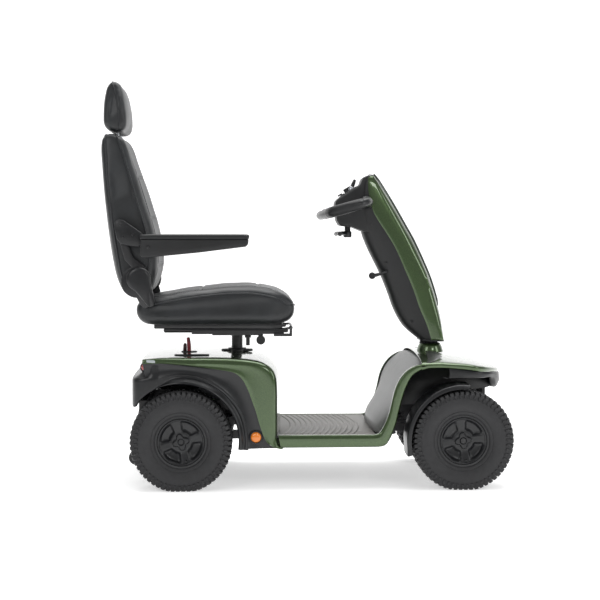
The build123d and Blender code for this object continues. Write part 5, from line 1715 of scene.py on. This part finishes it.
def make_seat_pan(name):
    """The pressed pan under the cushion on its two runners, with plates that reach up to the hinge."""
    parts = [plate(name, [(-96, 528), (-96, 547), (330, 547), (338, 540), (336, 532), (320, 526)], -150, 150,
                   "powder", 3.0, 3)]
    for side in (-1, 1):
        parts.append(plate(name, [(-166, 676), (-158, 706), (-128, 712), (-108, 700), (-106, 672), (-98, 640), (-104,
                                                            606),
                                  (-120, 600), (-136, 612), (-150, 640)], side * 219, side * 224, "powder", 1.5, 2))
        parts.append(tube(name + "_rail", [(-60, side * 140, 522), (350, side * 140, 522)], 8, "powder", 4, 14))
    parts.append(tube(name + "_grip", [(338, -120, 524), (362, -112, 528), (366, -60, 530), (366, 60, 530), (362,
                                                            112, 528),
                                       (338, 120, 524)], 4, "powder", 40, 10))
    return joined(name, parts)


# ------------------------------------------------------------------ camera and light


def make_camera():
    """The view: from the scooter's right, nearly side on, from a few metres."""
    lens_view = bpy.data.cameras.new("Camera")
    lens_view.lens = 83.46
    lens_view.sensor_width = 36
    camera = bpy.data.objects.new("Camera", lens_view)
    look = Vector((50 / 1391, 1, -65 / 1391)).normalized()
    across = look.cross(Vector((0, 0, 1))).normalized()
    turn = Matrix((across, across.cross(look), -look)).transposed().to_4x4()
    camera.matrix_world = Matrix.Translation((-0.184, -4.820, 0.842)) @ turn
    bpy.context.scene.collection.objects.link(camera)
    bpy.context.scene.camera = camera


def area_light(name, spot, target, size, power):
    """One softbox aimed at a point."""
    lamp = bpy.data.lights.new(name, "AREA")
    lamp.shape = "RECTANGLE"
    lamp.size, lamp.size_y = size
    lamp.energy = power
    light = bpy.data.objects.new(name, lamp)
    aim = (Vector(target) - Vector(spot)).to_track_quat("-Z", "Y").to_matrix().to_4x4()
    light.matrix_world = Matrix.Translation(spot) @ aim
    bpy.context.scene.collection.objects.link(light)


def make_stage():
    """A pale floor that curves up behind, softboxes and an even white surround."""
    rows = []
    for y, z in [(-9, 0), (3.5, 0), (4.6, 0.1), (5.4, 0.5), (5.8, 1.2), (5.9, 2.5), (5.9, 9)]:
        rows.append([(x, y, z) for x in (-12, -4, 4, 12)])
    mesh = bpy.data.meshes.new("studio_floor")
    mesh.from_pydata([p for row in rows for p in row], [], strip_faces(len(rows), 4))
    mesh.shade_smooth()
    floor = bpy.data.objects.new("studio_floor", mesh)
    bpy.context.scene.collection.objects.link(floor)
    shaped(floor, ("SUBSURF", {"levels": 3, "render_levels": 3}))
    material, _, shader = new_material("Matt white studio paper", "#F4F4F4", 0.9)
    shader.inputs["Emission Color"].default_value = (1, 1, 1, 1)
    shader.inputs["Emission Strength"].default_value = 0.50
    floor.data.materials.append(material)
    world = bpy.data.worlds.new("Studio")
    world.use_nodes = True
    world.node_tree.nodes["Background"].inputs["Color"].default_value = (1, 1, 1, 1)
    world.node_tree.nodes["Background"].inputs["Strength"].default_value = 0.33
    bpy.context.scene.world = world
    area_light("top_softbox", (0.2, 0.6, 4.2), (0.1, 0.1, 0.4), (4.0, 3.0), 150)
    area_light("key_softbox", (-2.2, -3.4, 2.6), (0, 0, 0.6), (1.4, 1.8), 28)
    area_light("front_softbox", (3.8, -1.8, 1.8), (0.3, 0, 0.6), (1.0, 2.2), 26)
    area_light("shoulder_softbox", (1.9, -3.9, 2.6), (-0.1, -0.1, 0.5), (1.0, 1.0), 22)
    bpy.context.scene.view_settings.view_transform = "Standard"


# ------------------------------------------------------------------ operators


def settled(piece, body, slot, *nodes):
    """Names the body a piece rides on and the CAD nodes it stands for; its finish slot is not used."""
    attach(piece, body)
    if nodes:
        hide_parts(*nodes)
    return piece


class ScooterStage(bpy.types.Operator):
    """Sets up the camera, the pale floor and the soft lights"""

    bl_idname = "scooter.stage"
    bl_label = "Stage"

    def execute(self, context):
        make_camera()
        make_stage()
        return {"FINISHED"}


class ScooterWheels(bpy.types.Operator):
    """Makes the four lugged tyres and their black sculpted wheels"""

    bl_idname = "scooter.wheels"
    bl_label = "Wheels"

    def execute(self, context):
        blocks = context.scene.scooter.tread_blocks
        for end, x, place_name, first in (("r", 0.0, "rear", 60), ("f", FRONT_X, "front", 53)):
            for hand, side, side_name in (("l", 1, "left"), ("r", -1, "right")):
                body = f"wheel_{place_name}_{side_name}"
                tyre = make_tyre(f"tread_{end}{hand}", x, side, blocks)
                settled(tyre, body, "tyre_rubber", f"tyre_{end}{hand}")
                settled(make_hub(f"hub_{end}{hand}", x, side, first), body, "black_plastic", f"wheel_{end}{hand}")
        return {"FINISHED"}


class ScooterRearBody(bpy.types.Operator):
    """Makes the painted pod, its black sides, wheel arches, tail bumper and lamps"""

    bl_idname = "scooter.rear_body"
    bl_label = "Rear body"

    def execute(self, context):
        settled(make_pod("pod"), "chassis", "green_paint", "rear_body_shell")
        settled(make_side_panel("pod_sides"), "chassis", "black_plastic")
        settled(make_arch("rear_arches"), "chassis", "black_plastic")
        settled(make_rear_bumper("tail_bumper"), "chassis", "black_plastic", "rear_bumper")
        settled(make_top_trims("top_trims"), "chassis", "black_plastic", "top_trim_plates")
        settled(make_freewheel("freewheel_handle"), "freewheel", "red_plastic", "freewheel_lever")
        lamps, ambers = [], []
        for side in (-1, 1):
            lamps.append(lens("lamp", (-124, side * 266, 410), (-0.8, side * 0.6, 0.1), 11.5, "red_lens", 4))
            lamps.append(plate("reflector", [(-112, 427), (-84, 424.5), (-84, 433), (-112, 436)],
                               side * (HALF_BODY - 1),
                               side * (HALF_BODY + 1.2), "reflector", 1.0))
            ambers.append(lens("amber", (245, side * (HALF_BODY - 5), 179), (0, side, 0), 18.5, "amber", 7))
        settled(joined("tail_lamps", lamps), "chassis", "red_lens", "rear_lamps")
        settled(joined("side_lamps", ambers), "chassis", "amber_lens", "side_indicators")
        return {"FINISHED"}


class ScooterFront(bpy.types.Operator):
    """Makes the sills, leg shield, bonnet, front bumper, mudguards and floor mat"""

    bl_idname = "scooter.front"
    bl_label = "Floor and front"

    def execute(self, context):
        settled(make_sill("sills"), "chassis", "green_paint")
        settled(make_floor_pan("floor_pan"), "chassis", "black_plastic", "floor_shell")
        settled(make_liner("nose_liner"), "chassis", "black_plastic")
        settled(make_bonnet("bonnet"), "chassis", "green_paint", "front_body_shell")
        settled(make_shield("shield"), "chassis", "grey_plastic", "leg_shield")
        settled(make_front_bumper("nose_bumper"), "chassis", "black_plastic", "front_bumper")
        settled(make_mat("ribbed_mat", context.scene.scooter.mat_pitch), "chassis", "mat_rubber", "footboard_mat")
        for side, name in ((1, "left"), (-1, "right")):
            guard = make_mudguard(f"guard_{name}", side)
            settled(guard, f"steer_{name}", "black_plastic", "mudguard_l" if side > 0 else "mudguard_r")
        return {"FINISHED"}


class ScooterTiller(bpy.types.Operator):
    """Makes the tiller's covers, console, strip, foot, handlebar and thumb levers"""

    bl_idname = "scooter.tiller"
    bl_label = "Tiller"

    def execute(self, context):
        settled(make_tiller_front("tiller_face"), "tiller", "green_paint", "tiller_front_cover")
        rear = joined("tiller_rear", [make_tiller_rear("tiller_back"), make_tiller_ends("tiller_ends"),
                                      make_console("console")])
        settled(rear, "tiller", "black_plastic", "tiller_rear_cover")
        settled(make_strip("tiller_strip"), "tiller", "green_paint", "tiller_front_strip")
        settled(make_handlebar("delta_bar"), "tiller", "black_plastic", "handlebar")
        settled(make_tiller_screws("tiller_screws"), "tiller", "steel")
        settled(make_base("tiller_foot"), "steering", "green_paint", "tiller_base_cover")
        settled(make_key("key_grip"), "key", "black_plastic", "ignition_key")
        settled(make_tilt_lever("tilt_handle"), "tiller_release", "black_plastic", "tilt_lever")
        settled(make_throttle("thumb_levers"), "throttle", "black_plastic", "throttle_paddle")
        return {"FINISHED"}


class ScooterSeat(bpy.types.Operator):
    """Makes the seat, backrest and headrest cushions, the armrests and the recline lever"""

    bl_idname = "scooter.seat"
    bl_label = "Seat"

    def execute(self, context):
        for maker, body, node in ((make_seat_cushion, "seat", "seat_cushion"), (make_back_cushion, "back",
                                                            "back_cushion"),
                                  (make_headrest, "headrest", "headrest_cushion")):
            cushion, trim = maker()
            settled(cushion, body, "leatherette", node)
            settled(trim, body, "leatherette")
        for side, name in ((1, "left"), (-1, "right")):
            pad, body = make_armrest(f"arm_{name}", side)
            settled(pad, f"armrest_{name}", "black_plastic", "armrest_l" if side > 0 else "armrest_r")
            settled(body, f"armrest_{name}", "black_plastic")
        settled(make_recline_lever("recline_handle"), "recline_release", "black_plastic", "recline_lever")
        settled(joined("back_brackets", [make_seat_brackets("bracket"), make_recliner("recliner")]), "back", "steel",
                "back_frame")
        settled(make_seat_pan("cushion_pan"), "seat", "steel", "seat_pan")
        for coils, x, side_y, foot, height, radius, wire, turns, arm in (
                ("rear_coils", 70, 172, 0.193, 0.0665, 0.0095, 0.0022, 7, "rear"),
                ("front_coils", 885, 52, 0.192, 0.0405, 0.0092, 0.0020, 6, "front")):
            pair = [coil_spring(f"{coils}_{n}", place(x, side * side_y, foot * 1000), height, radius, wire, turns)
                    for n, side in enumerate((-1, 1))]
            pair = settled(joined(coils, pair), arm + "_arm", "steel", arm + "_springs")
            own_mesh(pair)
        return {"FINISHED"}


class ScooterFrameFinish(bpy.types.Operator):
    """Gives the bare metal and plastic parts their finishes"""

    bl_idname = "scooter.frame_finish"
    bl_label = "Frame finishes"

    def execute(self, context):
        finishes = {
            "powder": ["main_frame", "rear_swing_arm", "front_swing_frame", "knuckle_l", "knuckle_r", "seat_pan",
                       "back_frame", "swivel_plate", "slide_lever", "tiller_stem", "steering_shaft", "swivel_lever",
                       "tie_rod", "seat_post"],
            "satin": ["floor_shell", "ignition_key", "horn_button", "wheel_arch_liners", "anti_tip_wheel_l",
                      "anti_tip_wheel_r", "speed_knob",
                      "throttle_paddle", "tilt_lever", "top_trim_plates", "recline_lever", "post_lock_knob",
                      "wheel_rl", "wheel_rr", "wheel_fl", "wheel_fr"],
            "zinc": ["headrest_rods"],
            "cast": ["transaxle"],
            "battery": ["batteries"],
            "red": ["freewheel_lever"],
        }
        for finish, nodes in finishes.items():
            for node in nodes:
                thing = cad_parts[node]
                for slot in thing.material_slots:
                    slot.material = MATERIALS[finish]
        return {"FINISHED"}


class ScooterPanel(bpy.types.Panel):
    """Lists the scooter's settings and its pieces"""

    bl_idname = "VIEW3D_PT_scooter"
    bl_label = "Mobility scooter"
    bl_space_type = "VIEW_3D"
    bl_region_type = "UI"
    bl_category = "Scooter"

    def draw(self, context):
        for key in ScooterSettings.__annotations__:
            self.layout.prop(context.scene.scooter, key)
        for maker in MAKERS:
            self.layout.operator(maker.bl_idname)


MAKERS = (ScooterStage, ScooterFrameFinish, ScooterWheels, ScooterRearBody, ScooterFront, ScooterTiller, ScooterSeat)
CLASSES = (ScooterSettings, *MAKERS, ScooterPanel)


def register():
    """Registers the classes and puts the settings on the scene."""
    for kind in CLASSES:
        bpy.utils.register_class(kind)
    bpy.types.Scene.scooter = bpy.props.PointerProperty(type=ScooterSettings)


def unregister():
    """Takes the settings and classes away again."""
    del bpy.types.Scene.scooter
    for kind in reversed(CLASSES):
        bpy.utils.unregister_class(kind)


def main():
    """Builds every piece."""
    register()
    make_materials(bpy.context.scene.scooter)
    for maker in MAKERS:
        getattr(bpy.ops.scooter, maker.bl_idname.split(".")[1])()


if __name__ == "__main__":
    main()
